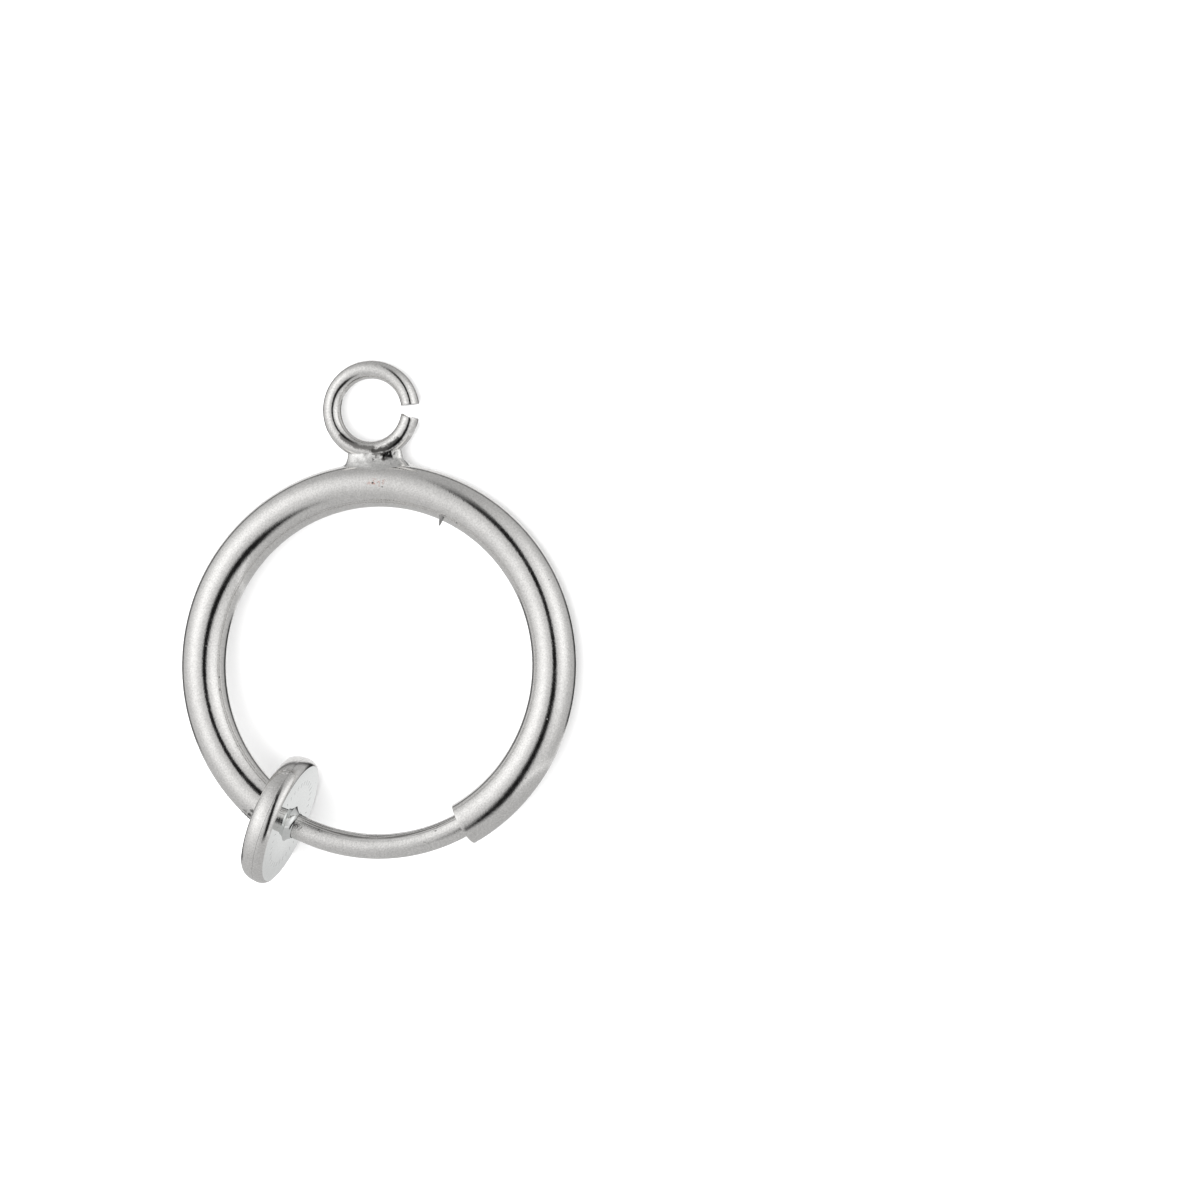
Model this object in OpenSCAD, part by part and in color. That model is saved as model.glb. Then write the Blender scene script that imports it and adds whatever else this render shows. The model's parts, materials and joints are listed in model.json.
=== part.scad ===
// Spring-loaded clip-on hoop earring with a charm loop, in millimetres.
// The hoop is drawn flat: X to the wearer's side, Y up to the charm loop, Z to the front.
// Angles along the hoop count from its bottom and are positive to the right.
// at_rest() then lays the whole clip on its back, as it settles on a table:
// the pads' rims and the far side of the tube touch the ground at Z = 0.

/* [Hoop tube] */
// Outer diameter of the hoop
hoop_d = 13; // [12:0.1:14]
// Outside diameter of the rolled tube
tube_d = 1.42; // [1.38:0.01:1.5]
// Wall of the rolled tube
tube_wall = 0.18; // [0.15:0.01:0.2]
// Width of the open seam that runs along the tube
seam_w = 0.05; // [0.04:0.01:0.08]
// How far the seam lies in front of the tube's innermost line, in degrees
seam_turn = 46; // [20:1:60]
// Mouth that the rod slides into, in degrees right of the bottom
mouth_at = 29; // [27:0.5:32]
// Plugged end, in degrees left of the bottom
plugged_at = 44.3; // [43:0.1:46]
// Burr left on the seam, in degrees right of the top
burr_at = 24.6; // [15:0.1:35]
// Length of that burr
burr_l = 0.42; // [0.3:0.01:0.45]

/* [Charm loop] */
// Diameter of the loop's wire
wire_d = 0.59; // [0.5:0.01:0.62]
// Clear hole of the loop
loop_hole = 2; // [1.8:0.05:2.1]
// How far the loop stands left of the hoop's middle
loop_off = 0.25; // [0.15:0.01:0.3]
// Clear height between the loop's wire and the tube, filled with solder
loop_lift = 0.095; // [0.05:0.005:0.12]
// Opening between the cut ends of the wire, in degrees
cut_open = 18; // [14:1:22]
// Where the middle of that opening is, in degrees below three o'clock
cut_at = 2; // [0:1:6]
// Height of the solder fillets beside the loop
fillet_r = 0.41; // [0.38:0.01:0.43]
// Half width of the solder foot, left of the loop's middle
foot_left = 0.8; // [0.78:0.01:0.85]
// Half width of the solder foot, right of the loop's middle
foot_right = 1.01; // [0.95:0.01:1.05]

/* [Slide and pads] */
// Diameter of the sliding rod
rod_d = 0.8; // [0.75:0.01:0.82]
// Arc of rod inside the tube when the clip is shut, in degrees
rod_grip = 45; // [40:1:60]
// Where the rod leaves the hoop's circle and runs straight, in degrees left of the bottom
lead_at = 22.5; // [20:0.5:24]
// Straight rod between there and the front face of the pads
lead_l = 0.76; // [0.7:0.01:0.85]
// Largest diameter of a pad
pad_d = 4.3; // [4:0.05:4.5]
// Thickness of the pad on the rod
rod_pad_t = 0.29; // [0.27:0.01:0.35]
// Thickness of the pad on the tube
tube_pad_t = 0.52; // [0.4:0.01:0.55]
// Rounding of the rod pad's rim
rod_pad_round = 0.18; // [0.12:0.01:0.22]
// Rounding of the tube pad's rim
tube_pad_round = 0.3; // [0.2:0.01:0.35]
// Diameter of the flared boss where it meets the rod pad
boss_d = 1.2; // [1.1:0.05:1.4]
// Length of the flared boss
boss_l = 0.2; // [0.15:0.01:0.25]
// Diameter of the neck between the plugged end and its pad
neck_d = 1.4; // [1.3:0.01:1.42]
// Arc of the neck's plug inside the tube, in degrees
plug_arc = 8; // [6:1:10]

/* [Fits] */
// Gap between pieces that are pressed together
seat_gap = 0.02; // [0.02:0.005:0.03]

/* [Hidden] */
$fn = 96;

// Hoop
tube_r = tube_d / 2;
hoop_r = hoop_d / 2 - tube_r;
bore_d = tube_d - 2 * tube_wall;
mid_wall_d = tube_d - tube_wall;
plugged_end = 360 - plugged_at;
burr_d = 0.24;
burr_tip_d = 0.05;
// The burr's root lies inside the wall and short of the bore
burr_root = tube_r - tube_wall / 2;

// Charm loop
wire_r = wire_d / 2;
loop_r = loop_hole / 2 + wire_r;
loop_y = hoop_d / 2 + loop_lift + loop_r + wire_r;
cut_to = -cut_at + cut_open / 2;

// Solder foot
// Height of the side fillets' middle above the tube, as a share of their radius
fillet_rise = 0.62;
// Share of the loop's wire that stands in solder
wire_sunk = 0.8;
foot_y = hoop_d / 2 + fillet_r * fillet_rise;
foot_core_d = 0.84;
foot_core_lift = 0.1;
foot_core_y = hoop_d / 2 + foot_core_lift;
foot_top = hoop_d / 2 + loop_lift + wire_d * wire_sunk;
foot_bottom = hoop_r + bore_d / 2 - fillet_r;
// Half the arc of tube that trims the foot from below, in degrees
foot_trim = 30;

// Pads, measured from the rod pad's front face towards the tube's plugged end
pad_r = pad_d / 2;
meeting = rod_pad_t + seat_gap;
pads_t = meeting + tube_pad_t;
rod_end = rod_pad_t - seat_gap;
// The neck ends half way through the tube pad
neck_end = lead_at + asin((lead_l + meeting + tube_pad_t / 2) / hoop_r);
// Arc of the plug that lies within the neck's end, in degrees
plug_lap = 1;
seat_gap_arc = seat_gap / hoop_r * 180 / PI;

// Rest: the line through the pads' meeting face and the hoop's middle is the steepest
pads_reach = lead_l + rod_pad_t;
pads_at = lead_at + atan(pads_reach / hoop_r);
pads_dist = sqrt(hoop_r * hoop_r + pads_reach * pads_reach);
rest_turn = 180 - pads_at;
rest_tilt = asin((pad_r - tube_r) / (hoop_r + pads_dist));
rest_height = tube_r + hoop_r * sin(rest_tilt);
// Middle of the clip between the charm loop's top and the pads' lower rim
loop_top = loop_y + loop_r + wire_r;
pads_low = (hoop_r + pad_r) * cos(lead_at) - (lead_l + rod_pad_round) * sin(lead_at);
middle_y = (loop_top - pads_low) / 2;

// Places the children, drawn about the hoop's middle, as the clip rests on a table
module at_rest() {
    translate([0, -middle_y, rest_height])
        rotate([0, 0, rest_turn])
            rotate([rest_tilt, 0, 0])
                rotate([0, 0, -rest_turn])
                    children();
}

// Sweeps a flat section along the hoop's circle between two angles
module along_hoop(from, to) {
    rotate([0, 0, from - 90])
        rotate_extrude(angle = to - from)
            translate([hoop_r, 0])
                children();
}

// Stands the children on the rod pad's front face, with their Z towards the plugged end
module on_pad_face() {
    rotate([0, 0, -lead_at])
        translate([-lead_l, -hoop_r, 0])
            rotate([0, -90, 0])
                children();
}

// Section of the rolled tube, open at its seam
module tube_section() {
    difference() {
        circle(d = tube_d);
        circle(d = bore_d);
        rotate(180 - seam_turn)
            translate([bore_d / 4, -seam_w / 2])
                square([tube_d / 2, seam_w]);
    }
}

// Sharp burr beside the seam, pointing at the hoop's middle
module seam_burr() {
    rotate([0, 0, 90 - burr_at])
        translate([hoop_r - burr_root * cos(seam_turn), 0, burr_root * sin(seam_turn)])
            rotate([0, -90, 0])
                cylinder(h = burr_l, d1 = burr_d, d2 = burr_tip_d, $fn = 32);
}

// Wire ring with its two cut ends a little apart
module charm_loop() {
    translate([-loop_off, loop_y, 0])
        rotate([0, 0, cut_to])
            rotate_extrude(angle = 360 - cut_open)
                translate([loop_r, 0])
                    circle(d = wire_d);
}

// Outline of the solder between the loop and the tube, hollowed by a fillet on each side
module foot_outline() {
    left = -loop_off - foot_left - fillet_r;
    right = -loop_off + foot_right + fillet_r;
    difference() {
        translate([left, foot_bottom])
            square([right - left, foot_top - foot_bottom]);
        translate([left, foot_y])
            circle(r = fillet_r);
        translate([right, foot_y])
            circle(r = fillet_r);
        translate([left - fillet_r, foot_y])
            square([2 * fillet_r, fillet_r]);
        translate([right - fillet_r, foot_y])
            square([2 * fillet_r, fillet_r]);
    }
}

// Solder foot, rounded front and back, that ends inside the tube's wall
module solder_foot() {
    difference() {
        intersection() {
            translate([0, 0, -foot_core_d])
                linear_extrude(2 * foot_core_d)
                    foot_outline();
            translate([-hoop_r / 2, foot_core_y, 0])
                rotate([0, 90, 0])
                    cylinder(h = hoop_r, d = foot_core_d);
        }
        along_hoop(180 - foot_trim, 180 + foot_trim)
            circle(d = mid_wall_d);
    }
}

// Half outline of a pad with one rounded edge, at its front
module pad_outline(thickness, round) {
    intersection() {
        square([pad_r, thickness]);
        union() {
            square([pad_r - round, thickness]);
            translate([0, round])
                square([pad_r, thickness]);
            translate([pad_r - round, round])
                circle(r = round);
        }
    }
}

// Rolled tube with its burr, and the charm loop soldered on
module hoop_tube() {
    color("silver")
        at_rest() {
            along_hoop(mouth_at, plugged_end)
                tube_section();
            seam_burr();
            solder_foot();
            charm_loop();
        }
}

// Fixed pad with the neck and plug that close the tube's end
module tube_pad() {
    color("silver")
        at_rest() {
            on_pad_face()
                translate([0, 0, pads_t])
                    mirror([0, 0, 1])
                        rotate_extrude()
                            pad_outline(tube_pad_t, tube_pad_round);
            along_hoop(-plugged_at + seat_gap_arc, -neck_end)
                circle(d = neck_d);
            along_hoop(-plugged_at - plug_arc, -neck_end - plug_lap)
                circle(d = bore_d - 2 * seat_gap);
        }
}

// Curved rod that slides in the tube, straight where it carries its pad
module slide_rod() {
    color("gainsboro")
        at_rest() {
            along_hoop(-lead_at, mouth_at + rod_grip)
                circle(d = rod_d);
            on_pad_face()
                translate([0, 0, -lead_l])
                    cylinder(h = lead_l + rod_end, d = rod_d);
        }
}

// Moving pad with the flared boss that grips the rod
module rod_pad() {
    color("silver")
        at_rest()
            on_pad_face()
                difference() {
                    union() {
                        rotate_extrude()
                            pad_outline(rod_pad_t, rod_pad_round);
                        translate([0, 0, -boss_l])
                            cylinder(h = boss_l, d1 = rod_d + 4 * seat_gap, d2 = boss_d);
                    }
                    translate([0, 0, -2 * boss_l])
                        cylinder(h = 2 * boss_l + 2 * rod_pad_t, d = rod_d + 2 * seat_gap);
                }
}

hoop_tube();
tube_pad();
slide_rod();
rod_pad();
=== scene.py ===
"""Looks of a clip-on hoop earring with a charm loop, lying on its back on a pale table."""
import json
import logging
import math
from contextlib import contextmanager
from dataclasses import dataclass
from enum import Enum
from typing import Callable, ClassVar, Iterable, Iterator, Sequence

import bmesh
import bpy
from mathutils import Matrix, Vector


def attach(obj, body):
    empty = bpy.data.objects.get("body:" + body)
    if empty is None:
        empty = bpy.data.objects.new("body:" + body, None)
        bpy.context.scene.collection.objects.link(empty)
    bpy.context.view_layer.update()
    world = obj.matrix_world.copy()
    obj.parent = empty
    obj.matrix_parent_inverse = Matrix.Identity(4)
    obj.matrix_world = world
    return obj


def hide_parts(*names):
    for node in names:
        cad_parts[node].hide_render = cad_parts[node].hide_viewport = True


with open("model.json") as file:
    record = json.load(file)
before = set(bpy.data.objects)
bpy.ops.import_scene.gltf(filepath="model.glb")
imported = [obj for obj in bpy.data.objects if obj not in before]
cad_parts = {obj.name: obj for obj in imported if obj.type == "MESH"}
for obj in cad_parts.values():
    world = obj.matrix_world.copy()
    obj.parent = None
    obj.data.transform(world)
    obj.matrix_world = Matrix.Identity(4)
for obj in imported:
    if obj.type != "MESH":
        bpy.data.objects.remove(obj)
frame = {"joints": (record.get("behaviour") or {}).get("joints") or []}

LOG = logging.getLogger("earring")
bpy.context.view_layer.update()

# Pieces are modelled in millimetres with the hoop flat: X to the right, Y up to the charm
# loop and Z to the front. Angles along the hoop count from its bottom, positive to the right.
MM = 0.001
FRONT = Vector((0, 0, 1))
HALF_TURN = 180.0

# How near, in millimetres, and how alike in direction things are that count as one
NEAR = 0.01
ALIKE = 0.9
SQUARE = 0.99
MERGED = 0.0005


class Body(Enum):
    """The two bodies that pieces ride on."""

    HOOP = "hoop"
    SLIDER = "slider"


class Slot(Enum):
    """The record's material slots."""

    TUBE = "plated_tube"
    PAD = "plated_pad"
    ROD = "plated_rod"
    FACE = "polished_pad"


class Part(Enum):
    """What a test picks in edit mode."""

    CORNERS = "VERT"
    EDGES = "EDGE"
    FACES = "FACE"


Piece = bpy.types.Object
Socket = bpy.types.NodeSocket
Sockets = bpy.types.bpy_prop_collection
Test = Callable[[Vector, Vector], bool]
Span = tuple[float, float]
Colour = tuple[float, float, float]

# Colours of the stains, from burnt flux to bare brass; the burnt and the smoked one also serve as painted
# shade along the charm ring's bottom and on the solder under it
CHARRED: Colour = (0.04, 0.038, 0.035)
BURNT_AND_SHADE: Colour = (0.05, 0.048, 0.045)
SMOKED_AND_SHADE: Colour = (0.10, 0.095, 0.09)
BRASSY: Colour = (0.60, 0.30, 0.24)


def rest_place() -> Matrix:
    """Works out how the flat hoop lies at rest, from the joint about the hoop's own axis.

    Returns:
        The matrix from flat millimetres to metres in the row frame.
    """
    joint = frame["joints"][0]
    turn = FRONT.rotation_difference(Vector(joint["axis"])).to_matrix().to_4x4()
    return Matrix.Translation(joint["pos_m"]) @ turn @ Matrix.Scale(MM, 4)


@dataclass(frozen=True)
class Hoop:
    """The circle that the tube and the rod both follow.

    Args:
        radius: from the hoop's middle to the middle of the tube.
        lead_at: where the rod leaves the circle, in degrees left of the bottom.
        lead_l: straight rod between there and the front face of the pads.
    """

    radius: float = 5.79
    lead_at: float = 22.5
    lead_l: float = 0.76

    def outward(self, angle: float) -> Vector:
        """Gives the direction from the hoop's middle at an angle in degrees."""
        turn = math.radians(angle)
        return Vector((math.sin(turn), -math.cos(turn), 0))

    def at(self, angle: float) -> Vector:
        """Gives the middle of the tube at an angle in degrees."""
        return self.outward(angle) * self.radius

    def onward(self, angle: float) -> Vector:
        """Gives the direction along the hoop, the way that angles grow."""
        return FRONT.cross(self.outward(angle))

    def angle_of(self, place: Vector) -> float:
        """Gives the angle of a place, from -180 to 180 degrees."""
        return math.degrees(math.atan2(place.x, -place.y))

    def off_line(self, place: Vector) -> Vector:
        """Gives the way from the tube's middle line to a place."""
        return place - self.at(self.angle_of(place))

    @property
    def pad_normal(self) -> Vector:
        """The pads' axis, which points to the tube's mouth."""
        turn = math.radians(self.lead_at)
        return Vector((math.cos(turn), -math.sin(turn), 0))

    @property
    def pad_face(self) -> Vector:
        """The middle of the moving pad's front face."""
        return self.at(-self.lead_at) - self.pad_normal * self.lead_l


HOOP = Hoop()


def add(primitive: Callable[..., object], name: str, **sizes: object) -> Piece:
    """Adds a primitive with nothing else selected and puts its place into its mesh.

    Args:
        primitive: the operator that adds it.
        name: the piece's plain name.
        sizes: what the operator takes.

    Returns:
        The new object.
    """
    bpy.ops.object.select_all(action="DESELECT")
    primitive(**sizes)
    piece = bpy.context.active_object
    piece.name = piece.data.name = name
    apply_place()
    return piece


def only(piece: Piece, *others: Piece) -> None:
    """Selects one piece, with others if they are given, and makes the first active.

    Args:
        piece: the one that becomes active.
        others: pieces that are selected with it.
    """
    bpy.ops.object.select_all(action="DESELECT")
    for each in (piece, *others):
        each.select_set(True)
    bpy.context.view_layer.objects.active = piece


@contextmanager
def editing(piece: Piece) -> Iterator[None]:
    """Opens a piece in edit mode with nothing selected, and closes it again.

    Args:
        piece: the piece that is opened.

    Returns:
        The context in which it is open.
    """
    only(piece)
    bpy.ops.object.mode_set(mode="EDIT")
    bpy.ops.mesh.select_all(action="DESELECT")
    try:
        yield
    finally:
        bpy.ops.object.mode_set(mode="OBJECT")


def pick(part: Part, test: Test) -> int:
    """Selects the corners, edges or faces of the open mesh that pass a test.

    Args:
        part: what is picked.
        test: takes the middle and the normal, or an edge's direction, of each.

    Returns:
        How many were picked.
    """
    bpy.ops.mesh.select_mode(type=part.value)
    bpy.ops.mesh.select_all(action="DESELECT")
    data = bpy.context.edit_object.data
    mesh = bmesh.from_edit_mesh(data)
    found = 0
    if part is Part.CORNERS:
        rows = [(item, item.co, item.normal) for item in mesh.verts]
    elif part is Part.FACES:
        rows = [(item, item.calc_center_median(), item.normal) for item in mesh.faces]
    else:
        rows = [(item, (item.verts[0].co + item.verts[1].co) / 2,
                 (item.verts[1].co - item.verts[0].co).normalized()) for item in mesh.edges]
    for item, middle, normal in rows:
        if test(middle, normal):
            item.select_set(True)
            found += 1
    mesh.select_flush_mode()
    bmesh.update_edit_mesh(data)
    return found


def circle(name: str, middle: Vector, outward: Vector, radius: float, corners: int,
           first: float = 0.0) -> Piece:
    """Adds an open circle, at right angles to the hoop's plane, as a section to sweep.

    Args:
        name: the piece's plain name.
        middle: its centre.
        outward: its direction in the hoop's plane.
        radius: its radius.
        corners: how many corners it has.
        first: the angle of its first corner from outward to the front, in degrees.

    Returns:
        The new object.
    """
    turn = math.radians(first)
    up = outward * math.cos(turn) + FRONT * math.sin(turn)
    normal = outward.cross(FRONT)
    place = Matrix((up.cross(normal), up, normal)).transposed()
    return add(bpy.ops.mesh.primitive_circle_add, name, vertices=corners, radius=radius,
               fill_type="NOTHING", location=middle, rotation=place.to_euler())


def near(spot: Vector, reach: float) -> Test:
    """Gives a test for what lies nearer to a spot than a reach."""
    return lambda place, _: (place - spot).length < reach


def on_plane(spot: Vector, normal: Vector, reach: float = NEAR) -> Test:
    """Gives a test for what lies nearer to a plane than a reach."""
    return lambda place, _: abs((place - spot).dot(normal)) < reach


def looks(way: Vector, alike: float = ALIKE) -> Test:
    """Gives a test for what looks nearly the same way."""
    return lambda _, normal: normal.dot(way) > alike


def both(first: Test, second: Test) -> Test:
    """Gives a test that passes what two tests pass."""
    return lambda place, way: first(place, way) and second(place, way)


def pick_all() -> None:
    """Selects the whole edited mesh."""
    bpy.ops.mesh.select_all(action="SELECT")


def sweep(angle: float, steps: int, middle: Vector = Vector()) -> None:
    """Spins what is selected about the front axis, positive to the right along the hoop's bottom."""
    bpy.ops.mesh.spin(steps=steps, angle=math.radians(abs(angle)), center=middle,
                      axis=(0, 0, -1 if angle > 0 else 1))


def turn_outwards() -> None:
    """Turns the edited mesh's faces outwards."""
    pick_all()
    bpy.ops.mesh.normals_make_consistent(inside=False)


def shift(way: Vector) -> None:
    """Extrudes what is selected and moves it."""
    bpy.ops.mesh.extrude_region_move(TRANSFORM_OT_translate={"value": way})


def resize(spot: Vector, *shares: float) -> None:
    """Resizes what is selected about a spot, by one share or by one along each axis."""
    bpy.ops.transform.resize(value=shares * 3 if len(shares) == 1 else shares, center_override=spot)


def roughen(offset: float, seed: int) -> None:
    """Moves the selected corners about at random, by an offset in millimetres."""
    bpy.ops.transform.vertex_random(offset=offset, uniform=0.0, normal=0.0, seed=seed)


def close_ends() -> None:
    """Closes the open ends of the edited mesh and turns its faces outwards."""
    bpy.ops.mesh.select_mode(type="EDGE")
    pick_all()
    bpy.ops.mesh.remove_doubles(threshold=MERGED)
    bpy.ops.mesh.fill_holes(sides=0)
    turn_outwards()


def finish_modifier(piece: Piece, kind: str, **settings: object) -> None:
    """Puts a modifier on a piece, sets it and applies it.

    Args:
        piece: the piece.
        kind: the modifier's type.
        settings: its fields.
    """
    only(piece)
    modifier = piece.modifiers.new(kind.lower(), kind)
    for name, value in settings.items():
        setattr(modifier, name, value)
    bpy.ops.object.modifier_apply(modifier=modifier.name)


def join(pieces: Sequence[Piece]) -> Piece:
    """Joins pieces into the first one.

    Args:
        pieces: the pieces, which all hold their place in their mesh.

    Returns:
        The joined piece.
    """
    only(*pieces)
    bpy.ops.object.join()
    return pieces[0]


def cloud(name: str, size: float, depth: int = 2) -> bpy.types.Texture:
    """Makes a cloud pattern for a Displace modifier, with blotches of a size in millimetres.

    Args:
        name: the pattern's name.
        size: size of its blotches.
        depth: how many finer layers it has.

    Returns:
        The pattern.
    """
    texture = bpy.data.textures.new(name, "CLOUDS")
    texture.noise_scale = size
    texture.noise_depth = depth
    return texture


def round_edges(piece: Piece, width: float, segments: int = 2, sharper_than: float = 40) -> None:
    """Rounds a piece's edges that are sharper than an angle in degrees."""
    finish_modifier(piece, "BEVEL", width=width, segments=segments, limit_method="ANGLE",
                    angle_limit=math.radians(sharper_than), harden_normals=False)


def apply_place() -> None:
    """Puts the selected pieces' places into their meshes."""
    bpy.ops.object.transform_apply(location=True, rotation=True, scale=True)


def settle(piece: Piece, body: Body, material: bpy.types.Material,
           smooth_below: float = 32) -> Piece:
    """Lays a finished piece down at rest, and gives it its body, slot and finish.

    Args:
        piece: the piece, in flat millimetres.
        body: what it rides on.
        material: its finish.
        smooth_below: edges flatter than this angle are shaded smooth, in degrees.

    Returns:
        The piece.
    """
    only(piece)
    bpy.ops.object.shade_smooth_by_angle(angle=math.radians(smooth_below))
    piece.matrix_world = rest_place()
    apply_place()
    piece.data.materials.clear()
    piece.data.materials.append(material)
    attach(piece, body.value)
    return piece


def report(piece: Piece) -> None:
    """Logs a piece and how many triangles it has."""
    triangles = sum(len(face.vertices) - 2 for face in piece.data.polygons)
    LOG.info("%s: %d triangles", piece.name, triangles)


class Tree:
    """Adds and joins the nodes of one material, node group or world."""

    def __init__(self, nodes: bpy.types.NodeTree) -> None:
        """Takes the node tree that it fills."""
        self.nodes = nodes

    def add(self, kind: str, **settings: object) -> bpy.types.Node:
        """Adds a node and sets its fields.

        Args:
            kind: the node's type name.
            settings: fields of the node.

        Returns:
            The node.
        """
        node = self.nodes.nodes.new(kind)
        for name, value in settings.items():
            setattr(node, name, value)
        return node

    def join(self, source: object, socket: Socket) -> None:
        """Puts a number, a tuple or another node's output into a socket.

        Args:
            source: the number, tuple or output.
            socket: where it goes.
        """
        if isinstance(source, Socket):
            self.nodes.links.new(source, socket)
        else:
            socket.default_value = source

    def fill(self, sockets: Iterable[Socket], *values: object) -> None:
        """Puts values into sockets, one after the other."""
        for value, socket in zip(values, sockets):
            self.join(value, socket)

    def math(self, operation: str, *values: object, clamp: bool = False) -> Socket:
        """Adds a Math node and gives its value.

        Args:
            operation: what the node works out.
            values: what it takes.
            clamp: keeps the value between 0 and 1.

        Returns:
            The value.
        """
        node = self.add("ShaderNodeMath", operation=operation, use_clamp=clamp)
        self.fill(node.inputs, *values)
        return node.outputs[0]

    def total(self, first: object, *others: object) -> Socket:
        """Adds values up.

        Args:
            first: the first value.
            others: what is added to it.

        Returns:
            The total.
        """
        for value in others:
            first = self.math("ADD", first, value)
        return first

    def product(self, first: object, *others: object) -> Socket:
        """Multiplies values.

        Args:
            first: the first value.
            others: what it is multiplied by.

        Returns:
            The product.
        """
        for value in others:
            first = self.math("MULTIPLY", first, value)
        return first

    def less(self, value: object, amount: object) -> Socket:
        """Takes an amount from a value."""
        return self.math("SUBTRACT", value, amount)

    def hypot(self, *sides: object) -> Socket:
        """Gives the length that goes with sides at right angles."""
        return self.math("SQRT", self.total(*(self.product(side, side) for side in sides)))

    def split(self, vector: Socket) -> Sockets:
        """Gives the three parts of a vector.

        Args:
            vector: the vector.

        Returns:
            Its x, y and z.
        """
        node = self.add("ShaderNodeSeparateXYZ")
        self.join(vector, node.inputs[0])
        return node.outputs

    def mix(self, share: object, first: object, second: object) -> Socket:
        """Mixes two colours by a share from 0 to 1.

        Args:
            share: how much of the second colour there is.
            first: a colour.
            second: the other colour.

        Returns:
            The mixed colour.
        """
        node = self.add("ShaderNodeMix", data_type="RGBA")
        colours = [socket for socket in node.inputs if socket.type == "RGBA"]
        self.fill((node.inputs["Factor"], *colours), share, first, second)
        return next(socket for socket in node.outputs if socket.type == "RGBA")

    def vector(self, operation: str, *values: object) -> bpy.types.Node:
        """Adds a Vector Math node.

        Args:
            operation: what the node works out.
            values: what it takes.

        Returns:
            The node.
        """
        node = self.add("ShaderNodeVectorMath", operation=operation)
        self.fill(node.inputs, *values)
        return node

    def ramp(self, value: object, low: float, high: float, start: float = 0.0, end: float = 1.0,
             smooth: bool = True) -> Socket:
        """Maps a value from low..high to start..end.

        Args:
            value: the value or output that is mapped.
            low: where the ramp starts.
            high: where it ends.
            start: what it gives below low.
            end: what it gives above high.
            smooth: eases in and out.

        Returns:
            The mapped value.
        """
        node = self.add("ShaderNodeMapRange", interpolation_type="SMOOTHSTEP" if smooth else "LINEAR")
        for name, number in (("Value", value), ("From Min", low), ("From Max", high),
                             ("To Min", start), ("To Max", end)):
            self.join(number, node.inputs[name])
        return node.outputs["Result"]

    def rise(self, value: object, span: Span) -> Socket:
        """Rises smoothly from 0 to 1 over a span of the value."""
        return self.ramp(value, *span)

    def fall(self, value: object, span: Span) -> Socket:
        """Falls smoothly from 1 to 0 over a span of the value."""
        return self.ramp(value, *span, 1.0, 0.0)

    def bell(self, value: object, middle: float, spread: float) -> Socket:
        """Gives 1 at the middle and falls off smoothly on both sides."""
        off = self.math("DIVIDE", self.less(value, middle), spread)
        return self.math("EXPONENT", self.product(off, off, -0.5))

    def noise(self, vector: Socket, size: float, detail: float = 3.0,
              roughness: float = 0.55) -> Socket:
        """Adds a noise whose blotches are about size millimetres.

        Args:
            vector: where the noise is read.
            size: size of its blotches, in millimetres.
            detail: how many finer layers it has.
            roughness: how strong these are.

        Returns:
            The noise, from 0 to 1.
        """
        node = self.add("ShaderNodeTexNoise")
        self.join(vector, node.inputs["Vector"])
        for name, number in (("Scale", 1 / (size * MM)), ("Detail", detail), ("Roughness", roughness)):
            node.inputs[name].default_value = number
        return node.outputs["Fac"]


class Effect:
    """A shared effect: a node group that is built once and placed with its own values.

    Each effect names its inputs in TAKES and its outputs in GIVES, and wires them in its wire
    method, which gives one value for each output.
    """

    NAME = ""
    TAKES: tuple[str, ...] = ()
    GIVES: tuple[str, ...] = ()
    # Inputs and outputs of these names are vectors, all others are numbers
    VECTORS = ("Vector", "Middle")

    @classmethod
    def get(cls) -> bpy.types.NodeTree:
        """Gives the node group, which is built when it is first asked for.

        Returns:
            The node group.
        """
        found = bpy.data.node_groups.get(cls.NAME)
        if found:
            return found
        group = bpy.data.node_groups.new(cls.NAME, "ShaderNodeTree")
        for way, names in (("INPUT", cls.TAKES), ("OUTPUT", cls.GIVES)):
            for name in names:
                kind = "NodeSocketVector" if name in cls.VECTORS else "NodeSocketFloat"
                group.interface.new_socket(name, in_out=way, socket_type=kind)
        tree = Tree(group)
        values = cls.wire(tree, tree.add("NodeGroupInput").outputs)
        out = tree.add("NodeGroupOutput").inputs
        for name, value in zip(cls.GIVES, values):
            tree.join(value, out[name])
        return group

    @classmethod
    def wire(cls, tree: Tree, given: Sockets) -> tuple[Socket, ...]:
        """Adds the group's nodes and gives one value for each output."""
        raise NotImplementedError

    @classmethod
    def place(cls, tree: Tree, *values: object) -> Sockets:
        """Places the effect in a tree, with a value for each input, and gives its outputs.

        Args:
            tree: the tree that it is placed in.
            values: a value for each input.

        Returns:
            Its outputs.
        """
        node = tree.add("ShaderNodeGroup", node_tree=cls.get())
        for name, value in zip(cls.TAKES, values):
            tree.join(value, node.inputs[name])
        return node.outputs


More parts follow.
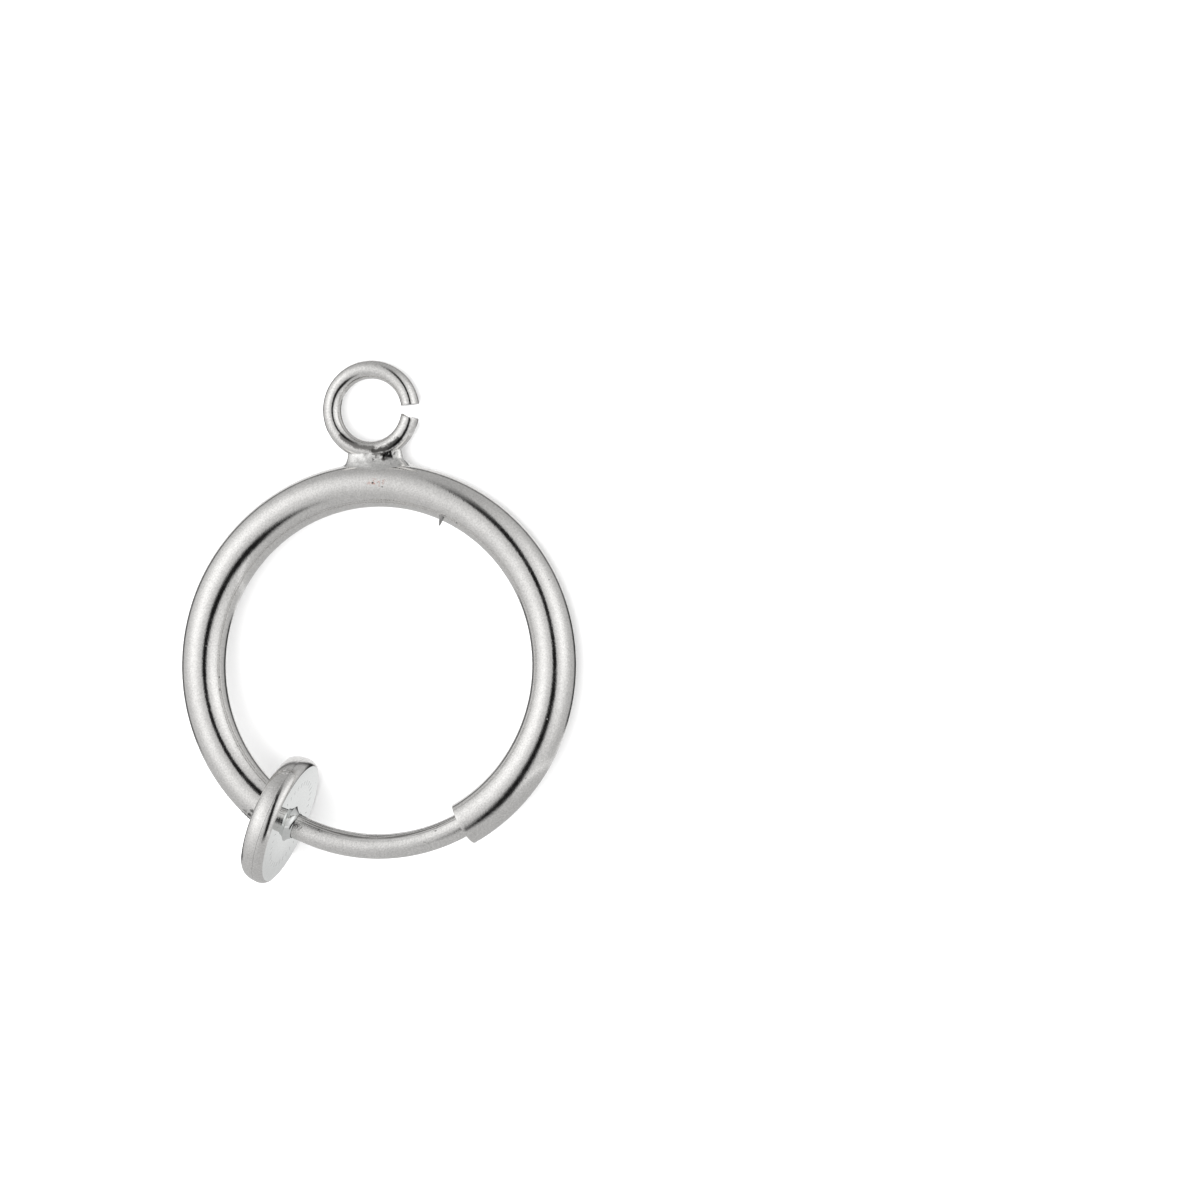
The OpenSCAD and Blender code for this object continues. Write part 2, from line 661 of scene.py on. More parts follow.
class AlongHoop(Effect):
    """Coordinates that stretch a pattern along the hoop's circle."""

    NAME = "along_hoop"
    TAKES = ("Vector",)
    GIVES = ("Vector",)
    # Share of the arc's length that counts, which draws a pattern out along the hoop
    STRETCH = 0.02

    @classmethod
    def wire(cls, tree: Tree, given: Sockets) -> tuple[Socket, ...]:
        """Turns the clip's place into distance from the hoop's axis, height and arc length.

        Args:
            tree: the group's nodes.
            given: the group's inputs.

        Returns:
            The coordinates.
        """
        back = (rest_place() @ Matrix.Scale(1 / MM, 4)).inverted()
        flat = tree.add("ShaderNodeMapping", vector_type="POINT")
        for name, value in (("Vector", given["Vector"]), ("Location", back.to_translation()),
                            ("Rotation", back.to_euler())):
            tree.join(value, flat.inputs[name])
        x, y, z = tree.split(flat.outputs["Vector"])
        turned = tree.math("ABSOLUTE", tree.math("ARCTAN2", x, y))
        length = tree.product(turned, HOOP.radius * MM * cls.STRETCH)
        whole = tree.add("ShaderNodeCombineXYZ")
        tree.fill(whole.inputs, tree.hypot(x, y), z, length)
        return (whole.outputs[0],)


class Grain(Effect):
    """Fine satin grain, drawn lines and dark specks of bright plating."""

    NAME = "plating_grain"
    TAKES = ("Vector", "Grain", "Lines", "Specks")
    GIVES = ("Height", "Blotch", "Mottle", "Speck")
    # Sizes of the patterns in millimetres, and the height of the blotches
    FINE = 0.055
    MOTTLE = 0.06
    LINE = 0.05
    BLOTCH = 0.4
    BLOTCH_HEIGHT = 1.6
    # Specks: size of the cells that may hold one, how few do, how torn they are, their edge and
    # their depth
    SPECK_CELL = 0.34
    SPECK_TEAR = 0.5
    SPECK_CHANCE = (0.80, 0.86)
    SPECK_EDGE = (0.02, 0.09)
    SPECK_DEPTH = 2.0

    @classmethod
    def wire(cls, tree: Tree, given: Sockets) -> tuple[Socket, ...]:
        """Adds grains, lines and blotches up, and sinks a few specks into them.

        Args:
            tree: the group's nodes.
            given: the group's inputs.

        Returns:
            The height, the blotches, the mottle and the specks.
        """
        place = given["Vector"]
        fine = tree.noise(place, cls.FINE, detail=2.0, roughness=0.6)
        broad = tree.noise(place, cls.BLOTCH, detail=3.0, roughness=0.6)
        mottle = tree.noise(place, cls.MOTTLE, detail=3.0, roughness=0.75)
        speck = tree.product(cls._specks(tree, place, mottle), given["Specks"])
        along = AlongHoop.place(tree, place)["Vector"]
        lines = tree.noise(along, cls.LINE, detail=2.0, roughness=0.5)
        height = tree.total(tree.product(fine, given["Grain"]), tree.product(lines, given["Lines"]),
                            tree.product(broad, cls.BLOTCH_HEIGHT))
        return tree.less(height, tree.product(speck, cls.SPECK_DEPTH)), broad, mottle, speck

    @classmethod
    def _specks(cls, tree: Tree, place: Socket, mottle: Socket) -> Socket:
        """Keeps the few cells that hold a speck, each with a torn edge.

        Args:
            tree: the group's nodes.
            place: object coordinates.
            mottle: the noise that tears the edges.

        Returns:
            The specks' mask.
        """
        cells = tree.add("ShaderNodeTexVoronoi", feature="F1")
        tree.join(place, cells.inputs["Vector"])
        tree.join(1 / (cls.SPECK_CELL * MM), cells.inputs["Scale"])
        chance = tree.add("ShaderNodeSeparateColor")
        tree.join(cells.outputs["Color"], chance.inputs[0])
        torn = tree.product(tree.less(mottle, 0.5), cls.SPECK_TEAR)
        torn = tree.total(cells.outputs["Distance"], torn)
        return tree.product(tree.fall(torn, cls.SPECK_EDGE), tree.rise(chance.outputs[0], cls.SPECK_CHANCE))


class ArcDistance(Effect):
    """Distance from a short arc that lies parallel to the hoop's plane."""

    NAME = "arc_distance"
    TAKES = ("Vector", "Middle", "Radius", "First", "Last")
    GIVES = ("Away",)

    @classmethod
    def wire(cls, tree: Tree, given: Sockets) -> tuple[Socket, ...]:
        """Measures to the nearest point of the arc.

        Args:
            tree: the group's nodes.
            given: the group's inputs.

        Returns:
            The distance, in metres.
        """
        off = tree.vector("SUBTRACT", given["Vector"], given["Middle"]).outputs[0]
        flat = rest_place().to_3x3().normalized()
        x, y, z = (tree.vector("DOT_PRODUCT", off, tuple(flat.col[index])).outputs["Value"]
                   for index in range(3))
        turn = tree.math("MAXIMUM", tree.math("ARCTAN2", y, x), given["First"])
        turn = tree.math("MINIMUM", turn, given["Last"])
        x = tree.less(x, tree.product(given["Radius"], tree.math("COSINE", turn)))
        y = tree.less(y, tree.product(given["Radius"], tree.math("SINE", turn)))
        return (tree.hypot(x, y, z),)


class StainAndShadePatch(Effect):
    """A ragged patch round a place or an arc, for stains and for painted shade."""

    NAME = "stain_and_shade_patch"
    TAKES = ("Vector", "Away", "Reach", "Ragged")
    GIVES = ("Mask",)
    # Size and middle of the tearing noise, the edge that it tears and the patch's end
    TEAR = 0.09
    TEAR_MIDDLE = 0.42
    EDGE = (0.35, 1.05)
    END = (0.8, 1.2)

    @classmethod
    def wire(cls, tree: Tree, given: Sockets) -> tuple[Socket, ...]:
        """Tears the patch's edge with a noise and ends it at its reach.

        Args:
            tree: the group's nodes.
            given: the group's inputs.

        Returns:
            The patch's mask.
        """
        share = tree.math("DIVIDE", given["Away"], given["Reach"])
        torn = tree.less(tree.noise(given["Vector"], cls.TEAR, detail=4.0, roughness=0.7), cls.TEAR_MIDDLE)
        edge = tree.total(share, tree.product(torn, given["Ragged"]))
        return (tree.product(tree.fall(edge, cls.EDGE), tree.fall(share, cls.END)),)


@dataclass(frozen=True)
class StainAndShade:
    """A patch of colour at one place, or a band of it along an arc; the clip's stains and, along the charm
    ring's bottom and the solder under it, painted shade.

    Args:
        place: its middle or its arc's middle, in flat millimetres.
        reach: how far it reaches, in millimetres.
        colour: its colour.
        strength: how much of the metal's colour it covers.
        ragged: how torn its edge is; above 3 it falls apart into small marks.
        radius: its arc's radius; 0 for a patch.
        arc: where its arc starts and ends, in degrees from three o'clock.
    """

    place: tuple[float, float, float]
    reach: float
    colour: Colour
    strength: float = 1.0
    ragged: float = 1.4
    radius: float = 0.0
    arc: Span = (0.0, 0.0)

    def away(self, tree: Tree, spot: Socket) -> Socket:
        """Adds the nodes that measure how far a spot is from the patch's middle or its arc.

        Args:
            tree: the material's nodes.
            spot: object coordinates.

        Returns:
            The distance, in metres.
        """
        middle = rest_place() @ Vector(self.place)
        if not self.radius:
            return tree.vector("DISTANCE", spot, tuple(middle)).outputs["Value"]
        first, last = (math.radians(angle) for angle in self.arc)
        return ArcDistance.place(tree, spot, middle, self.radius * MM, first, last)["Away"]


@dataclass(frozen=True)
class Plating:
    """A finish of silver-coloured plating.

    Args:
        name: the material's name.
        colour: its colour where it is clean.
        roughness: how blurred its reflections are.
        grain: height of the satin grain.
        lines: height of the drawn lines along the hoop.
        specks: how dark and deep its few pits are, from 0 to 1.
        relief: depth of the whole relief, in millimetres.
        blotches: how much its roughness changes over the surface.
        mottle: how much its colour changes from grain to grain.
        streak_shade: how dark its inner side is painted in lines along the hoop, as painted shade.
        polished_to: how far from the pads' middle line the polish reaches, with the tube's grain
            past it; 0 where the whole piece is alike.
        stains_and_shade: patches of another colour; stains, and painted shade along the charm ring's bottom
            and on the solder under it.
    """

    name: str
    colour: Colour = (0.80, 0.79, 0.775)
    roughness: float = 0.11
    grain: float = 1.0
    lines: float = 0.3
    specks: float = 1.0
    relief: float = 0.0019
    blotches: float = 0.06
    mottle: float = 0.17
    streak_shade: float = 0.0
    polished_to: float = 0.0
    stains_and_shade: tuple[StainAndShade, ...] = ()

    # Usual range of a noise, and the shares of the mottle and of the blotches in the clean colour
    MIDDLE_TONES: ClassVar[Span] = (0.3, 0.7)
    TONES: ClassVar[Span] = (0.85, 0.15)
    # Specks' colour, and how far they darken and blur; the pads' rim; the colour of the painted shade in
    # lines along the inner side, how far from the hoop's middle line it reaches, its edge and the lines'
    # width
    SPECK_COLOUR: ClassVar[tuple[float, ...]] = (0.09, 0.085, 0.08, 1)
    SPECK_SHADE: ClassVar[float] = 0.75
    SPECK_BLUR: ClassVar[float] = 0.35
    RIM_STEP: ClassVar[float] = 0.05
    RIM_BLUR: ClassVar[float] = 0.05
    RIM_RELIEF: ClassVar[float] = 1.5
    STREAK_SHADE_COLOUR: ClassVar[tuple[float, ...]] = (0.12, 0.115, 0.11, 1)
    STREAK_BAND: ClassVar[Span] = (-0.32, -0.1)
    STREAK_EDGE: ClassVar[Span] = (0.51, 0.58)
    STREAK_WIDTH: ClassVar[float] = 0.04

    def make(self) -> bpy.types.Material:
        """Builds the material, or gives it where it is already made.

        Returns:
            The material.
        """
        found = bpy.data.materials.get(self.name)
        if found:
            return found
        material = bpy.data.materials.new(self.name)
        material.use_nodes = True
        tree = Tree(material.node_tree)
        shader = material.node_tree.nodes["Principled BSDF"]
        place = tree.add("ShaderNodeTexCoord").outputs["Object"]
        grain = Grain.place(tree, place, self.grain, self.lines, self.specks)
        half = self.blotches / 2
        rough = tree.ramp(grain["Blotch"], *self.MIDDLE_TONES, self.roughness - half, self.roughness + half)
        rough = tree.total(rough, tree.product(grain["Speck"], self.SPECK_BLUR))
        height = grain["Height"]
        rim = self._rim(tree, place) if self.polished_to else None
        if rim:
            rough = tree.total(rough, tree.product(rim, self.RIM_BLUR))
            height = tree.product(height, tree.total(tree.product(rim, self.RIM_RELIEF), 1.0))
        bump = tree.add("ShaderNodeBump")
        for node, name, value in (
                (shader, "Metallic", 1.0), (shader, "Base Color", self._colour(tree, place, grain, rim)),
                (shader, "Roughness", rough), (shader, "Normal", bump.outputs["Normal"]),
                (bump, "Strength", 1.0), (bump, "Distance", self.relief * MM), (bump, "Height", height)):
            tree.join(value, node.inputs[name])
        return material

    def _rim(self, tree: Tree, place: Socket) -> Socket:
        """Gives 0 on a pad's polished face and 1 on its rim.

        Args:
            tree: the material's nodes.
            place: object coordinates.

        Returns:
            The share of the rim's grain.
        """
        off = tree.vector("SUBTRACT", place, tuple(rest_place() @ HOOP.pad_face)).outputs[0]
        normal = (rest_place().to_3x3() @ HOOP.pad_normal).normalized()
        out = tree.vector("CROSS_PRODUCT", off, tuple(normal)).outputs[0]
        away = tree.vector("LENGTH", out).outputs["Value"]
        return tree.ramp(away, self.polished_to * MM, (self.polished_to + self.RIM_STEP) * MM)

    def _clean(self, tree: Tree, grain: Sockets) -> Socket:
        """Gives the clean metal's colour, mottled from grain to grain.

        Args:
            tree: the material's nodes.
            grain: the grain's outputs.

        Returns:
            The colour.
        """
        bright = tuple(min(1.0, channel * (1 + self.mottle)) for channel in self.colour)
        dull = tuple(channel * (1 - self.mottle) for channel in self.colour)
        mottle, blotch = self.TONES
        share = tree.math("ADD", tree.ramp(grain["Mottle"], *self.MIDDLE_TONES, 0.0, mottle, smooth=False),
                          tree.ramp(grain["Blotch"], *self.MIDDLE_TONES, 0.0, blotch), clamp=True)
        return tree.mix(share, (*dull, 1), (*bright, 1))

    def _colour(self, tree: Tree, place: Socket, grain: Sockets, rim: Socket | None) -> Socket:
        """Mixes the clean colour with its blotches, specks, stains and painted shade.

        Args:
            tree: the material's nodes.
            place: object coordinates.
            grain: the grain's outputs.
            rim: where a pad's grainy rim is, if it has one.

        Returns:
            The colour.
        """
        mixed = self._clean(tree, grain)
        if rim:
            # Past the polish the metal has the colour of plain plating
            mixed = tree.mix(rim, mixed, Plating("plain")._clean(tree, grain))
        mixed = tree.mix(tree.product(grain["Speck"], self.SPECK_SHADE), mixed, self.SPECK_COLOUR)
        # Painted shade: the inner side is darkened in lines along the hoop
        if self.streak_shade:
            mixed = tree.mix(self._inner_streak_shade(tree, place), mixed, self.STREAK_SHADE_COLOUR)
        # Stains, and painted shade where a patch lies along the charm ring's bottom or on the solder under
        # it
        for stain_and_shade in self.stains_and_shade:
            patch = StainAndShadePatch.place(tree, place, stain_and_shade.away(tree, place), stain_and_shade.reach * MM, stain_and_shade.ragged)
            mixed = tree.mix(tree.product(patch["Mask"], stain_and_shade.strength), mixed, (*stain_and_shade.colour, 1))
        return mixed

    def _inner_streak_shade(self, tree: Tree, place: Socket) -> Socket:
        """Gives the painted shade in lines along the piece's inner side.

        Args:
            tree: the material's nodes.
            place: object coordinates.

        Returns:
            The lines' share.
        """
        along = AlongHoop.place(tree, place)["Vector"]
        band = tuple((HOOP.radius + outwards) * MM for outwards in self.STREAK_BAND)
        inner = tree.fall(tree.split(along)[0], band)
        lines = tree.rise(tree.noise(along, self.STREAK_WIDTH, detail=1.0), self.STREAK_EDGE)
        return tree.product(inner, lines, self.streak_shade)


@dataclass
class RolledTube:
    """Sheet rolled into a tube, open at a thin seam, that the rod slides into.

    Args:
        tube_d: outside diameter.
        wall: thickness of the sheet.
        seam_turn: how far the seam lies in front of the innermost line, in degrees.
        seam_drift: where the seam wanders towards the innermost line, each as its middle along
            the hoop, its stretch and how far it goes, in degrees.
        seam_share: the seam's width as a share of one step round the section.
        mouth_at: the open end, in degrees right of the bottom.
        plugged_at: the plugged end, in degrees left of the bottom.
        corners: corners round the section; the seam takes the place of one edge.
        steps: steps along the hoop.
        mouth_round: rounding of the mouth's rim.
        seam_round: rounding of the seam's edges.
        ragged: how uneven the seam's edges are.
        seam_reach: how near the seam's cut faces its edges lie, as a share of the wall.
        finish: the tube's plating.
    """

    tube_d: float = 1.42
    wall: float = 0.18
    seam_turn: float = 46.0
    seam_drift: tuple[tuple[float, float, float], ...] = ((166.0, 34.0, 9.0), (243.0, 50.0, 7.0))
    seam_share: float = 0.3
    mouth_at: float = 29.0
    plugged_at: float = 44.3
    corners: int = 90
    steps: int = 230
    mouth_round: float = 0.035
    seam_round: float = 0.007
    ragged: float = 0.004
    seam_reach: float = 0.7
    finish: Plating = Plating("tube_plating", stains_and_shade=(
        StainAndShade((-0.10, 5.85, 0.70), 0.16, BRASSY, 0.45, 7.0),
        StainAndShade((0.12, 5.84, 0.70), 0.16, BRASSY, 0.5, 7.0),
        StainAndShade((0.36, 5.83, 0.69), 0.15, (0.60, 0.32, 0.26), 0.4, 7.0),
        StainAndShade((-0.02, 5.835, 0.71), 0.045, (0.05, 0.05, 0.05), 0.9),
        StainAndShade((0.13, 5.835, 0.70), 0.03, (0.10, 0.07, 0.06), 0.8),
        StainAndShade((0.29, 5.83, 0.70), 0.026, (0.10, 0.07, 0.06), 0.7),
        StainAndShade((4.05, 4.72, 0.46), 0.08, (0.07, 0.07, 0.07), 0.7, 4.0),
        StainAndShade((4.83, 3.28, 0.36), 0.06, (0.10, 0.10, 0.10), 0.6, 4.0),
        StainAndShade((-5.17, -0.77, 0.42), 0.10, (0.30, 0.29, 0.28), 0.6, 4.0),
        StainAndShade((-4.54, -4.62, 0.20), 0.13, BURNT_AND_SHADE, 0.9, 1.2),
    ))

    @property
    def seam_at(self) -> float:
        """Where the seam starts round the section, in degrees from the outermost line to the front."""
        return HALF_TURN - self.seam_turn

    @property
    def step(self) -> float:
        """The length of one edge round the section."""
        return self.tube_d * math.pi / self.corners

    def build(self) -> Piece:
        """Rolls the sheet along the hoop, gives it its wall and rounds its edges.

        Returns:
            The tube.
        """
        tube = circle("rolled_tube", HOOP.at(self.mouth_at), HOOP.outward(self.mouth_at),
                      self.tube_d / 2, self.corners, self.seam_at + HALF_TURN / self.corners)
        with editing(tube):
            self._open_seam()
            pick_all()
            sweep(2 * HALF_TURN - self.plugged_at - self.mouth_at, self.steps)
            bpy.ops.mesh.select_all(action="DESELECT")
            self._wear_seam()
            self._face_outwards()
        finish_modifier(tube, "SOLIDIFY", thickness=self.wall, offset=-1, use_even_offset=True)
        with editing(tube):
            mouth, onward = HOOP.at(self.mouth_at), HOOP.onward(self.mouth_at)
            pick(Part.EDGES, lambda middle, way: self._off_seam(middle) < self.wall * self.seam_reach
                 and self._is_long(middle, way))
            bpy.ops.mesh.bevel(offset=self.seam_round, segments=2, affect="EDGES", clamp_overlap=True)
            pick(Part.FACES, both(looks(-onward, SQUARE), on_plane(mouth, onward)))
            bpy.ops.mesh.region_to_loop()
            bpy.ops.mesh.bevel(offset=self.mouth_round, segments=4, affect="EDGES", clamp_overlap=True)
        self._twist(tube)
        return settle(tube, Body.HOOP, self.finish.make())

    def _round(self, angle: float, turned: float) -> Vector:
        """Gives a direction across the tube, turned from the outermost line to the front, in degrees."""
        turn = math.radians(turned)
        return HOOP.outward(angle) * math.cos(turn) + FRONT * math.sin(turn)

    def _off_seam(self, place: Vector) -> float:
        """Gives how far a place is from the middle of the seam's two cut faces."""
        line = self._round(HOOP.angle_of(place), self.seam_at) * (self.tube_d - self.wall) / 2
        return (HOOP.off_line(place) - line).length

    def _is_long(self, middle: Vector, way: Vector) -> bool:
        """Tells whether an edge is one of the four that run along the seam.

        Args:
            middle: the edge's middle.
            way: its direction.

        Returns:
            Whether it is one.
        """
        angle = HOOP.angle_of(middle)
        sideways = self._round(angle, self.seam_at + HALF_TURN / 2)
        along = abs(way.dot(HOOP.onward(angle))) > ALIKE
        return along and abs(HOOP.off_line(middle).dot(sideways)) < self.step / 3

    def _open_seam(self) -> None:
        """Takes one edge out of the section and draws the gap narrower."""
        reach = self.tube_d / 2 * math.cos(math.pi / self.corners)
        seam = HOOP.at(self.mouth_at) + self._round(self.mouth_at, self.seam_at) * reach
        pick(Part.EDGES, near(seam, self.step / 4))
        bpy.ops.mesh.delete(type="EDGE")
        # The two corners left there lie half an edge's length from the middle of the seam
        pick(Part.CORNERS, near(seam, self.step * 0.6))
        resize(seam, self.seam_share)

    def _wear_seam(self) -> None:
        """Makes the seam's two edges slightly uneven."""
        pick(Part.CORNERS, lambda place, _: self._off_seam(place) < self.wall / 2 + self.step / 8)
        roughen(self.ragged, seed=5)

    def _face_outwards(self) -> None:
        """Turns the open sheet's faces away from the tube's middle line."""
        turn_outwards()
        inward = pick(Part.FACES, lambda middle, normal: normal.dot(HOOP.off_line(middle)) < 0)
        outward = pick(Part.FACES, lambda middle, normal: normal.dot(HOOP.off_line(middle)) >= 0)
        if inward > outward:
            pick_all()
            bpy.ops.mesh.flip_normals()

    def _twist(self, tube: Piece) -> None:
        """Turns the sheet round its own middle line, so that the seam wanders along the hoop.

        Args:
            tube: the tube.
        """
        for corner in tube.data.vertices:
            angle = HOOP.angle_of(corner.co) % (2 * HALF_TURN)
            turn = sum(far * (1 + math.tanh(2 * (angle - middle) / stretch)) / 2
                       for middle, stretch, far in self.seam_drift)
            spin = Matrix.Rotation(math.radians(turn), 3, HOOP.outward(angle).cross(FRONT))
            corner.co = HOOP.at(angle) + spin @ (corner.co - HOOP.at(angle))


@dataclass
class SeamBurr:
    """Sharp flake left on the seam, pointing at the hoop's middle.

    Args:
        at: its place, in degrees right of the top.
        length: how far it stands out from its root.
        width: its width at the root, along the hoop.
        thick: its thickness at the root.
        lean: how far its tip leans along the hoop.
        tip: radius of its tip.
        root: how far its root lies from the tube's middle line.
        seam_turn: the seam's angle in front of the innermost line, in degrees.
        finish: its plating.
    """

    at: float = 24.6
    length: float = 0.42
    width: float = 0.26
    thick: float = 0.1
    lean: float = -0.07
    tip: float = 0.012
    root: float = 0.62
    seam_turn: float = 46.0
    finish: Plating = Plating("burr_plating", colour=(0.36, 0.355, 0.35), roughness=0.35, relief=0.01)

    def build(self) -> Piece:
        """Shapes the flake from a narrow cone.

        Returns:
            The flake.
        """
        angle = HALF_TURN - self.at
        outward = HOOP.outward(angle)
        onward = HOOP.onward(angle)
        turn = math.radians(self.seam_turn)
        foot = HOOP.at(angle) - outward * self.root * math.cos(turn) + FRONT * self.root * math.sin(turn)
        place = Matrix((-onward, FRONT, -outward)).transposed()
        burr = add(bpy.ops.mesh.primitive_cone_add, "seam_burr", vertices=10, radius1=self.width / 2,
                   radius2=self.tip, depth=self.length, location=foot - outward * self.length / 2,
                   rotation=place.to_euler())
        with editing(burr):
            pick_all()
            resize(foot, 1, 1, self.thick / self.width)
            pick(Part.CORNERS, lambda spot, _: (foot - spot).dot(outward) > self.length / 2)
            bpy.ops.transform.translate(value=onward * self.lean)
            pick_all()
            bpy.ops.mesh.subdivide(number_cuts=2)
            roughen(self.tip, seed=11)
        return settle(burr, Body.HOOP, self.finish.make())


@dataclass
class CharmRing:
    """Wire ring on top of the hoop, with its cut ends a little apart.

    Args:
        wire_d: diameter of the wire.
        hole: clear hole.
        left: how far it stands left of the hoop's middle.
        lift: clear height between its wire and the tube.
        top: the tube's outermost line above the hoop's middle.
        cut_open: opening between the cut ends, in degrees.
        cut_at: middle of that opening below three o'clock, in degrees.
        corners: corners round the wire.
        steps: steps round the ring.
        end_round: rounding of the cut ends' edges.
        end_insets: widths of the two rings that an end's face is cut into.
        dome: height of the clean end.
        dish: depth of the torn end.
        tear: how uneven the torn end is.
        tooth: the tooth on the torn end, as its radius, its height and how far inwards it stands
            from the wire's middle, as a share of the wire's diameter.
        within: what counts as within the end's rim, as a share of the wire's diameter.
        finish: its plating.
    """

    wire_d: float = 0.59
    hole: float = 2.0
    left: float = 0.25
    lift: float = 0.095
    top: float = 6.5
    cut_open: float = 18.0
    cut_at: float = 2.0
    corners: int = 40
    steps: int = 130
    end_round: float = 0.018
    end_insets: tuple[float, float] = (0.05, 0.07)
    dome: float = 0.01
    dish: float = 0.012
    tear: float = 0.03
    tooth: tuple[float, float, float] = (0.09, 0.07, 0.42)
    within: float = 0.48
    finish: Plating = Plating("ring_plating", roughness=0.12, lines=0.0, specks=0.8, relief=0.0018, stains_and_shade=(
        StainAndShade((0.66, 8.72, 0.27), 0.08, (0.08, 0.08, 0.08), 0.8, 5.0),
        # Painted shade: the two arcs darken the front of the ring's lower part above the solder, carrying on
        # its dark reflection line
        StainAndShade((-0.25, 8.185, 0.28), 0.13, SMOKED_AND_SHADE, 0.8, 1.3, 1.235, (-138.0, -84.0)),
        StainAndShade((-0.16, 8.150, 0.28), 0.16, BURNT_AND_SHADE, 0.9, 1.6, 1.29, (-88.0, -46.0)),
    ))

    @property
    def radius(self) -> float:
        """Radius of the wire's middle line."""
        return (self.hole + self.wire_d) / 2

    @property
    def middle(self) -> Vector:
        """The ring's centre."""
        return Vector((-self.left, self.top + self.lift + self.radius + self.wire_d / 2, 0))

    def outward(self, angle: float) -> Vector:
        """Gives the direction from the ring's centre, in degrees above three o'clock."""
        return Vector((math.cos(math.radians(angle)), math.sin(math.radians(angle)), 0))

    def build(self) -> Piece:
        """Bends the wire round and dresses its two cut ends.

        Returns:
            The ring.
        """
        first = self.cut_open / 2 - self.cut_at
        last = -self.cut_open / 2 - self.cut_at
        start = self.outward(first)
        ring = circle("charm_ring", self.middle + start * self.radius, start,
                      self.wire_d / 2, self.corners)
        with editing(ring):
            pick_all()
            sweep(2 * HALF_TURN - self.cut_open, self.steps, self.middle)
            close_ends()
            for angle, way in ((first, -1), (last, 1)):
                facing = FRONT.cross(self.outward(angle)) * way
                self._dress_end(self.middle + self.outward(angle) * self.radius, facing, way > 0)
        round_edges(ring, self.end_round, segments=2, sharper_than=50)
        return settle(ring, Body.HOOP, self.finish.make())

    def _dress_end(self, spot: Vector, facing: Vector, rough: bool) -> None:
        """Puts a slight dome on a clean cut end, and a torn surface with a burr on a rough one.

        Args:
            spot: the end's middle.
            facing: the way that it looks.
            rough: whether it is torn.
        """
        pick(Part.FACES, both(near(spot, self.wire_d), looks(facing)))
        bpy.ops.mesh.inset(thickness=self.end_insets[0], depth=0.0)
        bpy.ops.mesh.inset(thickness=self.end_insets[1], depth=-self.dish if rough else self.dome)
        if not rough:
            return
        bpy.ops.mesh.poke()
        in_end = on_plane(spot, facing, self.end_insets[0])
        pick(Part.CORNERS, both(near(spot, self.wire_d * self.within), in_end))
        roughen(self.tear, seed=8)
        width, height, inwards = self.tooth
        inner = spot - (spot - self.middle).normalized() * self.wire_d * inwards
        pick(Part.CORNERS, both(near(inner, width), in_end))
        bpy.ops.transform.translate(value=facing * height)


